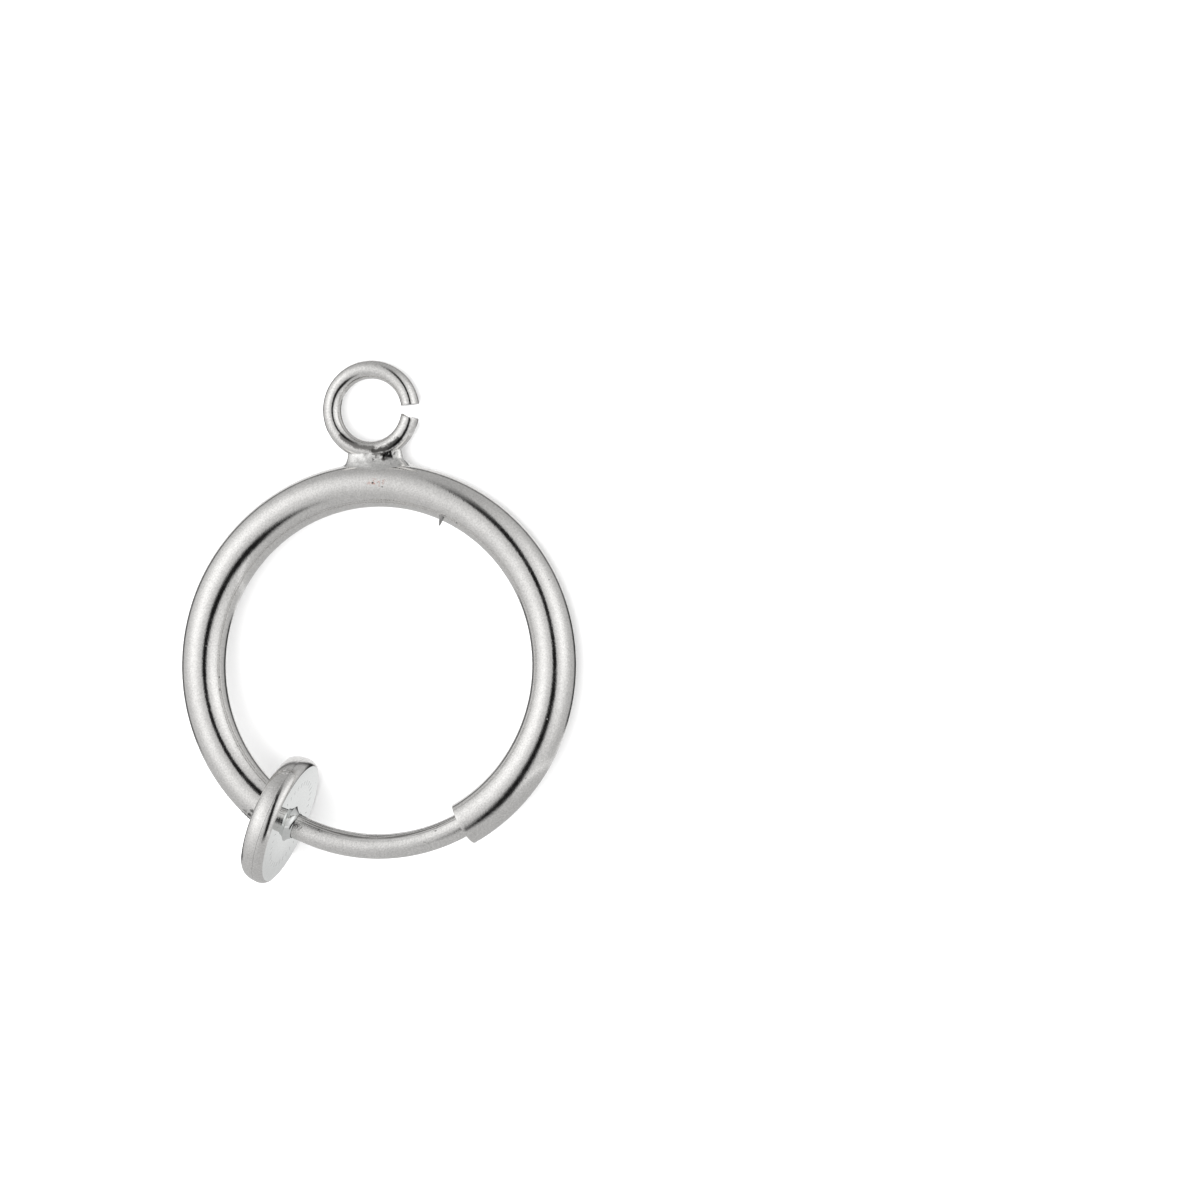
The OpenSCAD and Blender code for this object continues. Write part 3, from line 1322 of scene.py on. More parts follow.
@dataclass
class SolderFoot:
    """Solder that has run between the charm ring and the tube.

    It is melted together from stubs of the tube and of the wire, a little thinner than these,
    and from a waisted block between them. Only the block and the fillets round it show.

    Args:
        ring: the ring that it holds.
        tube_r: radius of the tube.
        levels: the block's levels from the bottom, each as its height, its left and right side
            and half its depth.
        block_corners: corners round the block.
        sunk: how much thinner the stubs are than the tube and the wire.
        tube_arc: half the arc of the tube's stub, in degrees.
        wire_arc: half the arc of the wire's stub, in degrees.
        tube_grid: corners round the tube's stub and steps along it.
        wire_grid: corners round the wire's stub and steps along it.
        voxel: grain of the melting.
        flow: how often the melt is smoothed.
        trim: how far above its lowest level the melt is cut off, inside the tube.
        waves: how uneven the melt is.
        wave_l: length of its waves.
        wave_span: how far above the lowest level the waves start, and where they end, as a share
            of the height from there to the highest level.
        proud: how fast the waves grow off the tube and the wire.
        finish: its plating.
    """

    ring: CharmRing
    tube_r: float = 0.71
    levels: tuple[tuple[float, float, float, float], ...] = (
        (6.05, -1.42, 1.50, 0.62),
        (6.22, -1.40, 1.46, 0.565),
        (6.34, -1.29, 1.28, 0.475),
        (6.43, -1.16, 1.07, 0.41),
        (6.53, -1.06, 0.90, 0.36),
        (6.65, -1.02, 0.80, 0.31),
        (6.80, -1.00, 0.77, 0.28),
        (6.95, -0.95, 0.72, 0.16),
    )
    block_corners: int = 64
    sunk: float = 0.008
    tube_arc: float = 19.0
    wire_arc: float = 62.0
    tube_grid: tuple[int, int] = (72, 48)
    wire_grid: tuple[int, int] = (40, 60)
    voxel: float = 0.028
    flow: int = 28
    trim: float = 0.1
    waves: float = 0.05
    wave_l: float = 0.36
    wave_span: Span = (0.3, 1.2)
    proud: float = 14.0
    finish: Plating = Plating("solder_plating", colour=(0.82, 0.815, 0.80), roughness=0.08, grain=0.5,
                              lines=0.0, specks=1.0, relief=0.003, blotches=0.10, stains_and_shade=(
        # A pit and dark marks, and, along the wire's bottom, painted shade under the ring that carries its
        # dark band into the melt
        StainAndShade((0.30, 6.88, 0.28), 0.12, BURNT_AND_SHADE, 0.9),
        StainAndShade((0.20, 6.75, 0.29), 0.12, BURNT_AND_SHADE, 0.95),
        StainAndShade((0.24, 6.60, 0.32), 0.11, (0.06, 0.055, 0.05), 0.9),
        StainAndShade((0.00, 6.79, 0.29), 0.20, SMOKED_AND_SHADE, 0.75),
        StainAndShade((-0.35, 6.81, 0.28), 0.16, (0.14, 0.135, 0.13), 0.6),
        StainAndShade((-0.09, 6.585, 0.31), 0.06, (0.04, 0.04, 0.04), 1.0),
        StainAndShade((-0.05, 6.68, 0.31), 0.22, (0.20, 0.195, 0.19), 0.6, 6.0),
        StainAndShade((0.66, 6.57, 0.26), 0.08, (0.06, 0.06, 0.055), 0.9, 4.0),
    ))

    def build(self) -> Piece:
        """Melts the stubs and the block together, cuts the hidden bottom off and ripples the melt.

        Returns:
            The foot.
        """
        foot = join([self._block(), self._tube_stub(), self._wire_stub()])
        finish_modifier(foot, "REMESH", mode="VOXEL", voxel_size=self.voxel)
        finish_modifier(foot, "SMOOTH", factor=0.5, iterations=self.flow)
        with editing(foot):
            pick_all()
            bpy.ops.mesh.bisect(plane_co=(0, self.levels[0][0] + self.trim, 0), plane_no=(0, 1, 0),
                                clear_inner=True, use_fill=True)
            turn_outwards()
        self._ripple(foot)
        return settle(foot, Body.HOOP, self.finish.make(), smooth_below=80)

    def _block(self) -> Piece:
        """Raises the block from an oval, level by level.

        Returns:
            The block.
        """
        places = [Vector(((left + right) / 2, height, 0)) for height, left, right, _ in self.levels]
        sizes = [Vector(((right - left) / 2, 1, depth)) for _, left, right, depth in self.levels]
        block = circle("solder_foot", places[0], Vector((1, 0, 0)), sizes[0].x, self.block_corners)
        with editing(block):
            pick_all()
            resize(places[0], 1, 1, sizes[0].z / sizes[0].x)
            for place, size, last_place, last_size in zip(places[1:], sizes[1:], places, sizes):
                shift(place - last_place)
                resize(place, size.x / last_size.x, 1, size.z / last_size.z)
            close_ends()
        return block

    def _tube_stub(self) -> Piece:
        """Sweeps a stub of the tube under the block."""
        start = HALF_TURN - self.tube_arc
        return self._stub("tube_stub", Vector(), HOOP.at(start), self.tube_r, self.tube_arc, self.tube_grid)

    def _wire_stub(self) -> Piece:
        """Sweeps a stub of the ring's wire over the block.

        Returns:
            The stub.
        """
        ring = self.ring
        start = ring.middle + ring.outward(-HALF_TURN / 2 - self.wire_arc) * ring.radius
        return self._stub("wire_stub", ring.middle, start, ring.wire_d / 2, self.wire_arc, self.wire_grid)

    def _stub(self, name: str, centre: Vector, start: Vector, radius: float, arc: float,
              grid: tuple[int, int]) -> Piece:
        """Sweeps a closed stub along an arc.

        Args:
            name: the stub's plain name.
            centre: the arc's centre.
            start: where its middle line starts.
            radius: radius of what it is a stub of.
            arc: half its arc, in degrees.
            grid: corners round it and steps along it.

        Returns:
            The stub.
        """
        corners, steps = grid
        stub = circle(name, start, (start - centre).normalized(), radius - self.sunk, corners)
        with editing(stub):
            pick_all()
            sweep(2 * arc, steps, centre)
            close_ends()
        return stub

    def _ripple(self, foot: Piece) -> None:
        """Makes the melt wavy between the tube and the wire, and leaves its ends where they are.

        Args:
            foot: the melted foot.
        """
        sides = foot.vertex_groups.new(name="sides")
        rise, end = self.wave_span
        low, high = self.levels[0][0] + rise, self.levels[-1][0]
        for corner in foot.data.vertices:
            share = (corner.co.y - low) / (high - low)
            off = corner.co - self.ring.middle
            wire = math.hypot(math.hypot(off.x, off.y) - self.ring.radius, off.z) - self.ring.wire_d / 2
            tube = HOOP.off_line(corner.co).length - self.tube_r
            proud = max(0.0, min(1.0, self.proud * min(wire, tube)))
            sides.add([corner.index], proud if 0 < share < end else 0.0, "REPLACE")
        finish_modifier(foot, "DISPLACE", texture=cloud("solder_waves", self.wave_l), strength=self.waves,
                        mid_level=0.45, vertex_group="sides", texture_coords="LOCAL")
        foot.vertex_groups.clear()


@dataclass
class FixedPad:
    """Round pad with the neck and plug that close the tube's end.

    Args:
        pad_d: largest diameter.
        thick: thickness.
        front: its flat face behind the moving pad's front face.
        rim_in: how far its back rim's rounding reaches inwards.
        rim_deep: how far that rounding reaches through the pad.
        neck_d: diameter of the neck.
        neck_from: where the neck meets the pad, in degrees left of the bottom.
        neck_to: where the neck meets the tube's end, in degrees left of the bottom.
        corners: corners round the neck.
        rough_at: middle of the neck's rough corner, as its degrees left of the bottom and its
            height to the front.
        rough_r: that corner's radius.
        rough: how uneven it is.
        plug_d: diameter of the plug.
        plug_arc: the plug's arc in the tube, in degrees.
        dents: how uneven its rim is.
        neck_steps: steps along the neck and along the plug.
        wart: a wart on the rim, as its angle from the top towards the front in degrees, its
            distance behind the moving pad's front face, its radius and its height.
        wart_levels: radii at which it rises a step, as shares of its own.
        finish: the pad's plating.
        neck_finish: the neck's plating.
    """

    pad_d: float = 4.3
    thick: float = 0.528
    front: float = 0.302
    rim_in: float = 0.3
    rim_deep: float = 0.50
    neck_d: float = 1.42
    neck_from: float = 35.4
    neck_to: float = 44.3
    corners: int = 90
    rough_at: tuple[float, float] = (42.0, 0.15)
    rough_r: float = 0.26
    rough: float = 0.022
    plug_d: float = 1.02
    plug_arc: float = 8.0
    dents: float = 0.012
    neck_steps: tuple[int, int] = (22, 8)
    wart: tuple[float, float, float, float] = (42.0, 0.45, 0.11, 0.03)
    wart_levels: tuple[float, ...] = (1.0, 0.8, 0.6, 0.35)
    finish: Plating = Plating("pad_plating", roughness=0.13, lines=0.0, specks=0.9, relief=0.003, stains_and_shade=(
        StainAndShade((-3.42, -4.95, 1.5), 0.42, (0.64, 0.38, 0.31), 0.35, 4.0),
        StainAndShade((-3.56, -7.30, 1.2), 0.9, (0.40, 0.39, 0.38), 0.35, 5.0),
    ))
    neck_finish: Plating = Plating("neck_plating", stains_and_shade=(
        StainAndShade((-4.50, -4.66, 0.19), 0.14, CHARRED, 0.95, 0.9),
        StainAndShade((-4.36, -4.75, 0.27), 0.15, CHARRED, 0.95, 1.3),
        StainAndShade((-4.25, -4.86, 0.24), 0.15, CHARRED, 0.95, 0.9),
        StainAndShade((-4.32, -4.65, 0.44), 0.22, (0.16, 0.155, 0.15), 0.65, 4.0),
        StainAndShade((-4.15, -4.78, 0.46), 0.14, BURNT_AND_SHADE, 0.9, 1.4),
        StainAndShade((-4.03, -4.65, 0.60), 0.12, (0.06, 0.058, 0.055), 0.8, 1.6),
    ))

    def build(self) -> list[Piece]:
        """Builds the disc and the neck."""
        return [self._disc(), self._neck()]

    def _disc(self) -> Piece:
        """Turns the disc, with its back rim rounded.

        Returns:
            The disc.
        """
        normal = HOOP.pad_normal
        meeting = HOOP.pad_face - normal * self.front
        disc = pad_blank("fixed_pad", self.pad_d, self.thick, self.rim_in, self.rim_deep, meeting, -normal)
        finish_modifier(disc, "DISPLACE", texture=cloud("pad_dents", 0.9, 1), strength=self.dents,
                        mid_level=1.0, texture_coords="LOCAL")
        self._raise_wart(disc)
        return settle(disc, Body.HOOP, self.finish.make(), smooth_below=40)

    def _raise_wart(self, disc: Piece) -> None:
        """Pushes a small round wart out of the disc's rim.

        Args:
            disc: the disc.
        """
        angle, behind, radius, height = self.wart
        upward = -HOOP.outward(-HOOP.lead_at)
        out = upward * math.cos(math.radians(angle)) + FRONT * math.sin(math.radians(angle))
        spot = HOOP.pad_face - HOOP.pad_normal * behind + out * self.pad_d / 2
        with editing(disc):
            pick(Part.FACES, near(spot, 2 * radius))
            bpy.ops.mesh.subdivide(number_cuts=3)
            for share in self.wart_levels:
                pick(Part.CORNERS, near(spot, radius * share))
                bpy.ops.transform.translate(value=out * height / len(self.wart_levels))

    def _neck(self) -> Piece:
        """Sweeps the neck, roughens it at its outer side and pulls the plug out of it.

        Returns:
            The neck with its plug.
        """
        neck = circle("plugged_neck", HOOP.at(-self.neck_from), HOOP.outward(-self.neck_from),
                      self.neck_d / 2, self.corners)
        with editing(neck):
            pick_all()
            sweep(self.neck_from - self.neck_to, self.neck_steps[0])
            angle, height = self.rough_at
            spot = HOOP.at(-angle) + HOOP.outward(-angle) * self.neck_d / 2 + FRONT * height
            pick(Part.CORNERS, near(spot, self.rough_r))
            roughen(self.rough, seed=4)
            end = HOOP.at(-self.neck_to)
            pick(Part.EDGES, on_plane(end, HOOP.onward(-self.neck_to), 1.2 * NEAR))
            bpy.ops.mesh.extrude_region_move()
            resize(end, self.plug_d / self.neck_d)
            sweep(-self.plug_arc, self.neck_steps[1])
            close_ends()
        return settle(neck, Body.HOOP, self.neck_finish.make(), smooth_below=40)


def pad_blank(name: str, width: float, thick: float, rim_in: float, rim_deep: float, meeting: Vector,
              facing: Vector) -> Piece:
    """Turns a disc from a squashed ring, flat at its meeting face and rounded on its other rim.

    Args:
        name: the piece's plain name.
        width: its diameter.
        thick: its thickness.
        rim_in: how far the rounding reaches inwards.
        rim_deep: how far it reaches through the disc.
        meeting: the middle of its meeting face.
        facing: the way that its rounded side looks.

    Returns:
        The disc.
    """
    inner = width / 2 - rim_in
    turn = FRONT.rotation_difference(facing).to_matrix().to_4x4()
    disc = add(bpy.ops.mesh.primitive_torus_add, name, major_segments=192, minor_segments=48,
               major_radius=inner, minor_radius=rim_in)
    with editing(disc):
        pick_all()
        bpy.ops.transform.resize(value=(1, 1, rim_deep / rim_in))
        bpy.ops.mesh.bisect(plane_co=(0, 0, 0), plane_no=FRONT, clear_inner=True)
        pick(Part.FACES, lambda place, _: place.xy.length < inner)
        bpy.ops.mesh.delete(type="FACE")
        pick(Part.EDGES, lambda place, way: abs(place.z) < MERGED and abs(way.z) < NEAR)
        shift(FRONT * (rim_deep - thick))
        close_ends()
    disc.matrix_world = Matrix.Translation(meeting + facing * (thick - rim_deep)) @ turn
    only(disc)
    apply_place()
    return disc


@dataclass
class MovingPad:
    """Round pad with the flared boss that grips the rod's end.

    Args:
        pad_d: largest diameter.
        thick: thickness.
        rim_in: how far its front rim's rounding reaches inwards.
        rim_deep: how far that rounding reaches through the pad.
        boss_d: the boss's diameter where it meets the pad.
        boss_tip_d: its diameter at the tip.
        boss_l: its length.
        boss_steps: steps in its hollow flare.
        boss_foot: width of the flat ring round its foot.
        bore_d: the bore that the rod sits in.
        ticks: how many faint tooling ticks ring the face.
        tick_at: their place, as a share of the pad's radius.
        tick_size: a tick's length, width and height.
        tick_taper: size of its top as a share of its foot.
        finish: its plating.
        tick_finish: the ticks' plating.
    """

    pad_d: float = 4.3
    thick: float = 0.298
    rim_in: float = 0.18
    rim_deep: float = 0.288
    boss_d: float = 1.2
    boss_tip_d: float = 0.9
    boss_l: float = 0.2
    boss_steps: int = 7
    boss_foot: float = 0.04
    bore_d: float = 0.84
    ticks: int = 34
    tick_at: float = 0.66
    tick_size: tuple[float, float, float] = (0.2, 0.03, 0.005)
    tick_taper: float = 0.7
    finish: Plating = Plating("polished_plating", colour=(0.83, 0.845, 0.835), roughness=0.07, grain=0.35,
                              lines=0.0, specks=0.5, relief=0.0015, blotches=0.04, mottle=0.06,
                              polished_to=1.96)
    tick_finish: Plating = Plating("tick_plating", colour=(0.62, 0.63, 0.625), roughness=0.2, grain=0.35,
                                   lines=0.0)

    def build(self) -> list[Piece]:
        """Turns the pad and rings it with ticks."""
        return [self._disc(), self._tick_ring()]

    def _disc(self) -> Piece:
        """Turns the disc, pulls the boss out of its face and bores it through.

        Returns:
            The disc.
        """
        normal = HOOP.pad_normal
        front = HOOP.pad_face
        back = front - normal * self.thick
        disc = pad_blank("moving_pad", self.pad_d, self.thick, self.rim_in, self.rim_deep, back, normal)
        with editing(disc):
            pick(Part.FACES, both(near(front, NEAR), looks(normal, SQUARE)))
            bpy.ops.mesh.inset(thickness=self.pad_d / 2 - self.rim_in - self.boss_d / 2 - self.boss_foot)
            bpy.ops.mesh.inset(thickness=self.boss_foot)
            width = self.boss_d
            for step in range(1, self.boss_steps + 1):
                rise = step / self.boss_steps
                last, width = width, self.boss_tip_d + (self.boss_d - self.boss_tip_d) * (1 - rise) ** 2
                shift(normal * self.boss_l / self.boss_steps)
                resize(front + normal * self.boss_l * rise, width / last)
            bpy.ops.mesh.inset(thickness=(self.boss_tip_d - self.bore_d) / 2)
            bpy.ops.mesh.delete(type="FACE")
            pick(Part.FACES, both(near(back, NEAR), looks(-normal, SQUARE)))
            bpy.ops.mesh.inset(thickness=self.pad_d / 2 - self.bore_d / 2)
            bpy.ops.mesh.delete(type="FACE")
            bpy.ops.mesh.select_mode(type="EDGE")
            bpy.ops.mesh.select_all(action="DESELECT")
            bpy.ops.mesh.select_non_manifold(extend=False, use_wire=False, use_boundary=True,
                                             use_multi_face=False, use_non_contiguous=False, use_verts=False)
            bpy.ops.mesh.bridge_edge_loops()
            turn_outwards()
        return settle(disc, Body.SLIDER, self.finish.make(), smooth_below=25)

    def _tick_ring(self) -> Piece:
        """Models one faint tick on the face and copies it round.

        Returns:
            The ticks, as one piece.
        """
        normal = HOOP.pad_normal
        outward = HOOP.outward(-HOOP.lead_at)
        spot = HOOP.pad_face + outward * self.pad_d / 2 * self.tick_at
        place = Matrix((outward, normal.cross(outward), normal)).transposed()
        tick = add(bpy.ops.mesh.primitive_cube_add, "pad_ticks", size=1.0, location=spot,
                   rotation=place.to_euler(), scale=self.tick_size)
        with editing(tick):
            pick(Part.FACES, looks(normal))
            resize(spot + normal * self.tick_size[2] / 2, self.tick_taper)
        shapes = [tick]
        for index in range(1, self.ticks):
            copy = tick.copy()
            copy.data = tick.data.copy()
            bpy.context.collection.objects.link(copy)
            turn = Matrix.Rotation(2 * math.pi * index / self.ticks, 4, normal)
            copy.matrix_world = Matrix.Translation(HOOP.pad_face) @ turn @ Matrix.Translation(-HOOP.pad_face)
            shapes.append(copy)
        only(*shapes)
        apply_place()
        return settle(join(shapes), Body.SLIDER, self.tick_finish.make(), smooth_below=30)


@dataclass
class SlideRod:
    """Curved rod that slides in the tube, straight where it carries its pad.

    Args:
        rod_d: its diameter.
        mouth_at: where it enters the tube, in degrees right of the bottom.
        grip: its arc inside the tube when the clip is shut, in degrees.
        seat: how deep it sits in the moving pad.
        corners: corners round it.
        steps: steps along the arc.
        lead_steps: steps along the straight lead.
        end_round: rounding of its ends.
        finish: its plating.
    """

    rod_d: float = 0.8
    mouth_at: float = 29.0
    grip: float = 45.0
    seat: float = 0.27
    corners: int = 64
    steps: int = 110
    lead_steps: int = 6
    end_round: float = 0.05
    # The rod's inner side is darkened in lines as painted shade
    finish: Plating = Plating("rod_plating", colour=(0.83, 0.82, 0.805), roughness=0.19, lines=2.0,
                              relief=0.0025, streak_shade=0.75, stains_and_shade=(
        StainAndShade((1.82, -5.84, 0.24), 0.07, (0.08, 0.08, 0.08), 0.6, 4.0),
        StainAndShade((1.99, -5.20, 0.31), 0.13, (0.15, 0.145, 0.14), 0.5, 6.0),
        StainAndShade((-1.9, -5.25, 0.33), 0.16, SMOKED_AND_SHADE, 0.6, 6.0),
    ))

    def build(self) -> Piece:
        """Sweeps the arc, pulls the straight lead out of its left end and rounds both ends.

        Returns:
            The rod.
        """
        rod = circle("slide_rod_bright", HOOP.at(-HOOP.lead_at), HOOP.outward(-HOOP.lead_at),
                     self.rod_d / 2, self.corners)
        lead = HOOP.pad_normal * -(HOOP.lead_l + self.seat)
        with editing(rod):
            pick_all()
            sweep(HOOP.lead_at + self.mouth_at + self.grip, self.steps)
            start = HOOP.at(-HOOP.lead_at)
            pick(Part.EDGES, both(on_plane(start, HOOP.pad_normal, 2 * MERGED), near(start, self.rod_d)))
            for _ in range(self.lead_steps):
                shift(lead / self.lead_steps)
            close_ends()
        round_edges(rod, self.end_round, segments=3, sharper_than=60)
        return settle(rod, Body.SLIDER, self.finish.make(), smooth_below=40)


class Tent:
    """Light of a soft tent, drawn as it shows on a mirrored ball seen from the camera.

    Across and up run from -1 to 1 over the ball. A soft box stands on each side of the lens, with a
    dark gap between them, and a darker ring lies where the tent's edge meets the table.
    """

    # Soft boxes and the bright spot that the pads' faces mirror: middle across and up, spread
    # across and up, and light
    BOXES = ((-0.48, 0.12, 0.185, 0.27, 0.67), (0.41, 0.14, 0.165, 0.27, 0.67))
    SPOT = (0.9, -0.4, 0.06, 0.05, 0.86)
    # Walls: where the left one ends and the right one starts, and their light
    WALLS_AT = (-0.7, 0.7)
    WALLS = (0.55, 0.51)
    # Dimmer band under the roof: its height, its spread and its share of the light
    ROOF = (0.66, 0.16, 0.18)
    # Bright lip of the right box: its height and spread, its slope, its start and its light
    LIP = (-0.26, 0.018)
    LIP_SLOPE = 0.28
    LIP_FROM = (0.05, 0.3)
    LIP_LIGHT = 0.3
    # Gap at the lens: its middle, its edge, how far it moves and blurs lower down, its foot, its
    # head and its darkness
    GAP_AT = 0.01
    GAP_EDGE = (0.05, 0.11)
    GAP_LOW = (-0.12, 0.12)
    GAP_SHIFT = 0.03
    GAP_BLUR = 0.08
    GAP_FOOT = (-0.46, -0.30)
    GAP_HEAD = (0.28, 0.66)
    GAP_DARK = 0.98
    # Edge of the tent on the table: how far out it lies, its spread, its foot, head and darkness
    OVAL = 1.08
    EDGE = (0.95, 0.022)
    EDGE_FOOT = (-0.40, -0.30)
    EDGE_HEAD = (0.3, 0.9)
    EDGE_DARK = (0.92, 0.7)
    # Dim side of the tent on the right
    SIDE_OUT = (0.86, 0.93)
    SIDE_FROM = (0.6, 0.85)
    SIDE_FOOT = (-0.36, -0.26)
    SIDE_HEAD = (0.2, 0.45)
    SIDE_DARK = 0.6
    # Bright paper beyond the edge, above and on the right
    PAPER_OUT = (0.965, 0.99)
    PAPER_ABOVE = (0.35, 0.6)
    PAPER_FOOT = (-0.42, -0.34)
    PAPER_FROM = (0.4, 0.7)
    PAPER_LIGHT = 0.88

    def __init__(self, tree: Tree, right: Vector, up: Vector, back: Vector) -> None:
        """Works out where each direction of the world shows on the ball.

        Args:
            tree: the world's nodes.
            right: the photo's right.
            up: the photo's up.
            back: the way to the camera.
        """
        self.tree = tree
        way = tree.add("ShaderNodeTexCoord").outputs["Generated"]
        half = tree.vector("NORMALIZE", tree.vector("ADD", way, tuple(back)).outputs[0]).outputs[0]
        self.across = tree.vector("DOT_PRODUCT", half, tuple(right)).outputs["Value"]
        self.up = tree.vector("DOT_PRODUCT", half, tuple(up)).outputs["Value"]
        self.out = tree.hypot(self.across, tree.product(self.up, self.OVAL))

    def light(self) -> Socket:
        """Gives the whole light of the tent.

        Returns:
            The light.
        """
        light = self._dim(self._boxes(), self._gap())
        light = self._dim(self._dim(light, self._edge()), self._side())
        tree = self.tree
        spot = self._patch(*self.SPOT[:-1])
        light = tree.total(self._dim(light, spot), tree.product(spot, self.SPOT[-1]))
        paper = self._paper()
        return tree.total(self._dim(light, paper), tree.product(paper, self.PAPER_LIGHT))

    def _dim(self, light: Socket, share: Socket) -> Socket:
        """Takes a share of the light away."""
        return self.tree.product(light, self.tree.less(1.0, share))

    def _patch(self, across: float, up: float, wide: float, tall: float) -> Socket:
        """Gives a soft round patch on the ball."""
        tree = self.tree
        return tree.product(tree.bell(self.across, across, wide), tree.bell(self.up, up, tall))

    def _boxes(self) -> Socket:
        """Gives the even light of the tent, with the two soft boxes in it.

        Returns:
            The light.
        """
        tree = self.tree
        boxes = (tree.product(self._patch(*box[:-1]), box[-1]) for box in self.BOXES)
        light = tree.total(*boxes, tree.ramp(self.across, *self.WALLS_AT, *self.WALLS))
        height, spread, dark = self.ROOF
        light = self._dim(light, tree.product(tree.bell(self.up, height, spread), dark))
        slope = tree.total(self.up, tree.product(self.across, self.LIP_SLOPE))
        lip = tree.product(tree.bell(slope, *self.LIP), tree.rise(self.across, self.LIP_FROM))
        return tree.total(light, tree.product(lip, self.LIP_LIGHT))

    def _gap(self) -> Socket:
        """Gives the dark gap between the boxes, where the lens looks in.

        Returns:
            The share of the light that it takes.
        """
        tree = self.tree
        low = tree.fall(self.up, self.GAP_LOW)
        off = tree.less(tree.less(self.across, self.GAP_AT), tree.product(low, self.GAP_SHIFT))
        sharp, soft = self.GAP_EDGE
        edge = (sharp, tree.total(soft, tree.product(low, self.GAP_BLUR)))
        return tree.product(tree.fall(tree.math("ABSOLUTE", off), edge), tree.rise(self.up, self.GAP_FOOT),
                            tree.fall(self.up, self.GAP_HEAD), self.GAP_DARK)

    def _edge(self) -> Socket:
        """Gives the dark ring where the tent's edge meets the table.

        Returns:
            The share of the light that it takes.
        """
        tree = self.tree
        return tree.product(tree.bell(self.out, *self.EDGE), tree.rise(self.up, self.EDGE_FOOT),
                            tree.ramp(self.up, *self.EDGE_HEAD, *self.EDGE_DARK))

    def _side(self) -> Socket:
        """Gives the dim side of the tent on the right.

        Returns:
            The share of the light that it takes.
        """
        tree = self.tree
        return tree.product(tree.rise(self.out, self.SIDE_OUT), tree.rise(self.across, self.SIDE_FROM),
                            tree.rise(self.up, self.SIDE_FOOT), tree.fall(self.up, self.SIDE_HEAD),
                            self.SIDE_DARK)

    def _paper(self) -> Socket:
        """Gives the bright paper beyond the edge.

        Returns:
            Where it shows, from 0 to 1.
        """
        tree = self.tree
        beside = tree.product(tree.rise(self.up, self.PAPER_FOOT), tree.rise(self.across, self.PAPER_FROM))
        where = tree.math("MAXIMUM", tree.rise(self.up, self.PAPER_ABOVE), beside)
        return tree.product(tree.rise(self.out, self.PAPER_OUT), where)


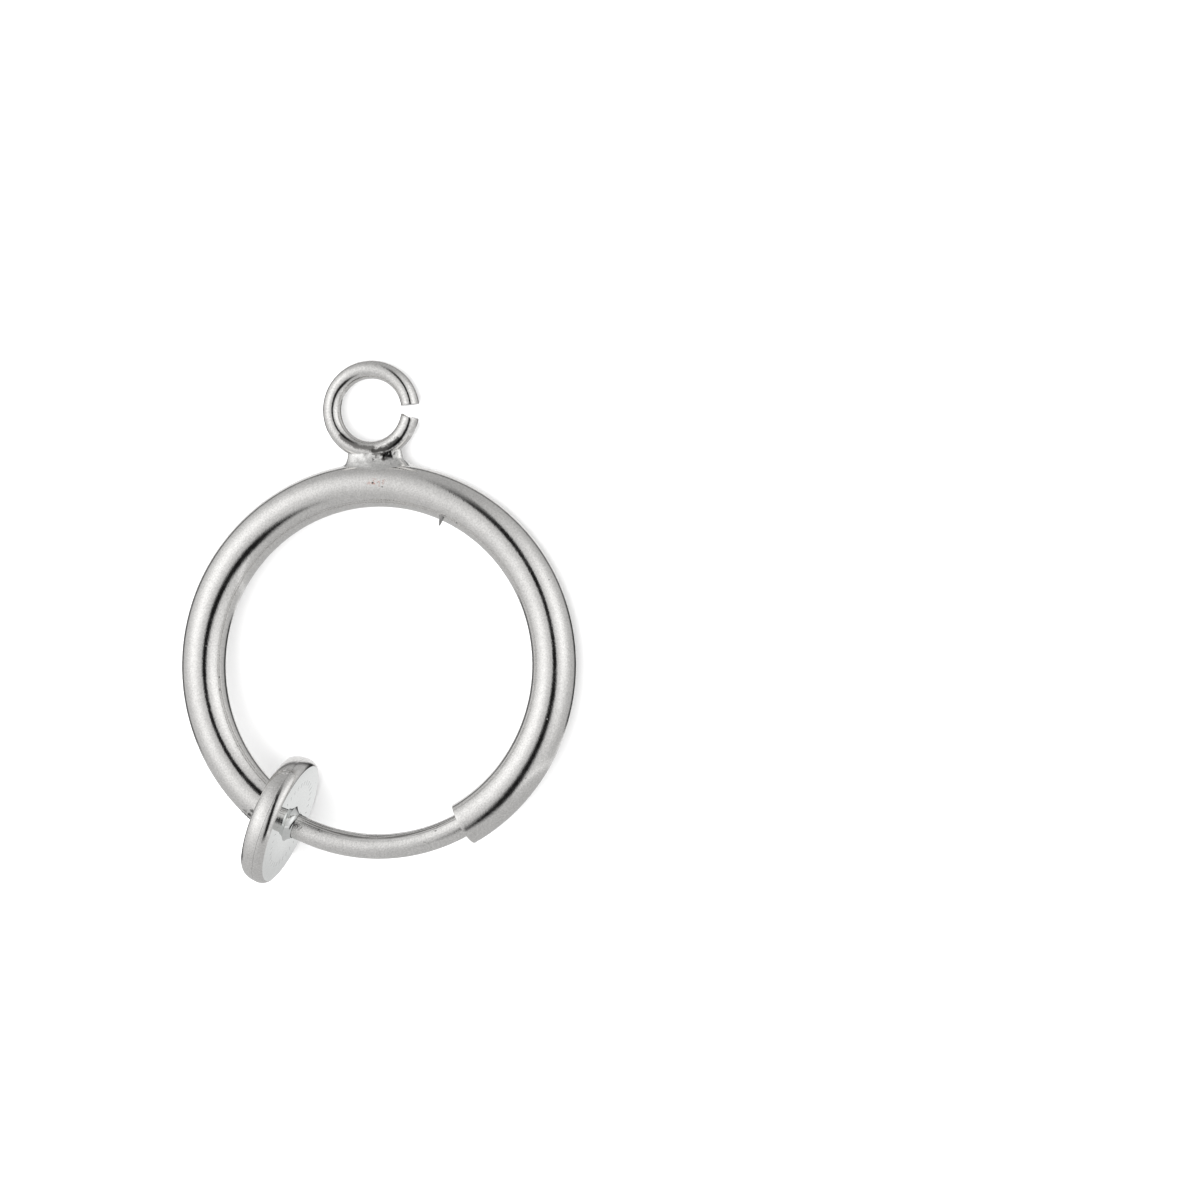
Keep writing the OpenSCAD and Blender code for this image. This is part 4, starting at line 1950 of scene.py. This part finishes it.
@dataclass
class Studio:
    """Pale table, soft light all round with a dark gap at the lens, and the camera.

    Args:
        azimuth: the camera's turn round the flat hoop's upright, in degrees.
        elevation: its height above the hoop's own axis, in degrees.
        lens: focal length, in millimetres.
        sensor: width of the sensor, in millimetres.
        frame_px: the photo's width and height.
        hoop_px: where the hoop's middle stands in the photo.
        mm_per_px: the photo's scale.
        table_size: the table's side, in metres.
        table_colour: the table's colour.
        lamp_size: width of the light over the table, in metres.
        lamp_height: its height, in metres.
        lamp_power: its power, in watts.
    """

    azimuth: float = 13.8
    elevation: float = -1.0
    lens: float = 500.0
    sensor: float = 36.0
    frame_px: float = 1200.0
    hoop_px: tuple[float, float] = (378.7, 665.5)
    mm_per_px: float = 0.032
    table_size: float = 4.0
    table_colour: Colour = (0.92, 0.92, 0.92)
    lamp_size: float = 0.9
    lamp_height: float = 0.6
    lamp_power: float = 8.0

    def axes(self) -> tuple[Vector, Vector, Vector]:
        """Gives the photo's right, up and towards-the-camera directions in the row frame.

        Returns:
            The three directions.
        """
        turn, rise = math.radians(self.azimuth), math.radians(self.elevation)
        right = Vector((math.cos(turn), 0, -math.sin(turn)))
        back = Vector((math.sin(turn) * math.cos(rise), math.sin(rise), math.cos(turn) * math.cos(rise)))
        rest = rest_place().to_3x3()
        return tuple((rest @ axis).normalized() for axis in (right, back.cross(right), back))

    def build(self) -> None:
        """Sets the table, the light and the camera."""
        self._table()
        self._tent()
        self._table_light()
        self._camera()
        view = bpy.context.scene.view_settings
        view.view_transform = "Standard"
        view.look = "None"

    def _table(self) -> None:
        """Lays a plain pale table under the clip, which the metal doesn't mirror."""
        table = add(bpy.ops.mesh.primitive_plane_add, "table", size=self.table_size)
        material = bpy.data.materials.new("table_paper")
        material.use_nodes = True
        shader = material.node_tree.nodes["Principled BSDF"]
        shader.inputs["Base Color"].default_value = (*self.table_colour, 1)
        shader.inputs["Roughness"].default_value = 1.0
        shader.inputs["Specular IOR Level"].default_value = 0.0
        table.data.materials.append(material)
        table.visible_glossy = False
        table.visible_shadow = False

    def _tent(self) -> None:
        """Lights the clip from the soft tent, and shows plain white where the camera sees past it."""
        world = bpy.data.worlds.new("soft_tent")
        bpy.context.scene.world = world
        world.use_nodes = True
        tree = Tree(world.node_tree)
        light = Tent(tree, *self.axes()).light()
        seen = tree.add("ShaderNodeLightPath").outputs["Is Camera Ray"]
        light = tree.total(tree.product(light, tree.less(1.0, seen)), seen)
        background = world.node_tree.nodes["Background"].inputs
        tree.join(light, background["Strength"])
        tree.join((1, 1, 1, 1), background["Color"])

    def _table_light(self) -> None:
        """Hangs a wide soft light over the table, which the metal doesn't mirror."""
        lamp = bpy.data.lights.new("table_light", "AREA")
        lamp.shape = "DISK"
        lamp.size = self.lamp_size
        lamp.energy = self.lamp_power
        shade = bpy.data.objects.new("table_light", lamp)
        shade.location = (0, 0, self.lamp_height)
        shade.visible_glossy = False
        shade.visible_camera = False
        bpy.context.collection.objects.link(shade)

    def _camera(self) -> None:
        """Puts a long lens at the photo's angle, with the clip where it stands in the photo."""
        right, up, back = self.axes()
        half = self.frame_px / 2
        aim = rest_place().to_translation()
        aim += right * (half - self.hoop_px[0]) * self.mm_per_px * MM
        aim -= up * (half - self.hoop_px[1]) * self.mm_per_px * MM
        data = bpy.data.cameras.new("camera")
        data.lens = self.lens
        data.sensor_width = self.sensor
        data.clip_start = 0.01
        away = self.frame_px * self.mm_per_px * MM * self.lens / self.sensor
        camera = bpy.data.objects.new("camera", data)
        turn = Matrix((right, up, back)).transposed().to_4x4()
        camera.matrix_world = Matrix.Translation(aim + back * away) @ turn
        bpy.context.collection.objects.link(camera)
        bpy.context.scene.camera = camera


def main() -> None:
    """Builds the clip piece by piece, then the studio."""
    logging.basicConfig(level=logging.INFO, format="%(name)s %(message)s")
    tube = RolledTube().build()
    ring = CharmRing()
    hoop_pieces = [tube, SeamBurr().build(), ring.build(), SolderFoot(ring).build()]
    for piece in hoop_pieces:
        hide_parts("hoop_tube")
    fixed = FixedPad().build()
    for piece in fixed:
        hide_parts("tube_pad")
    rod = SlideRod().build()
    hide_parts("slide_rod")
    moving = MovingPad().build()
    for piece in moving:
        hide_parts("rod_pad")
    for piece in (*hoop_pieces, *fixed, rod, *moving):
        report(piece)
    Studio().build()


if __name__ == "__main__":
    main()
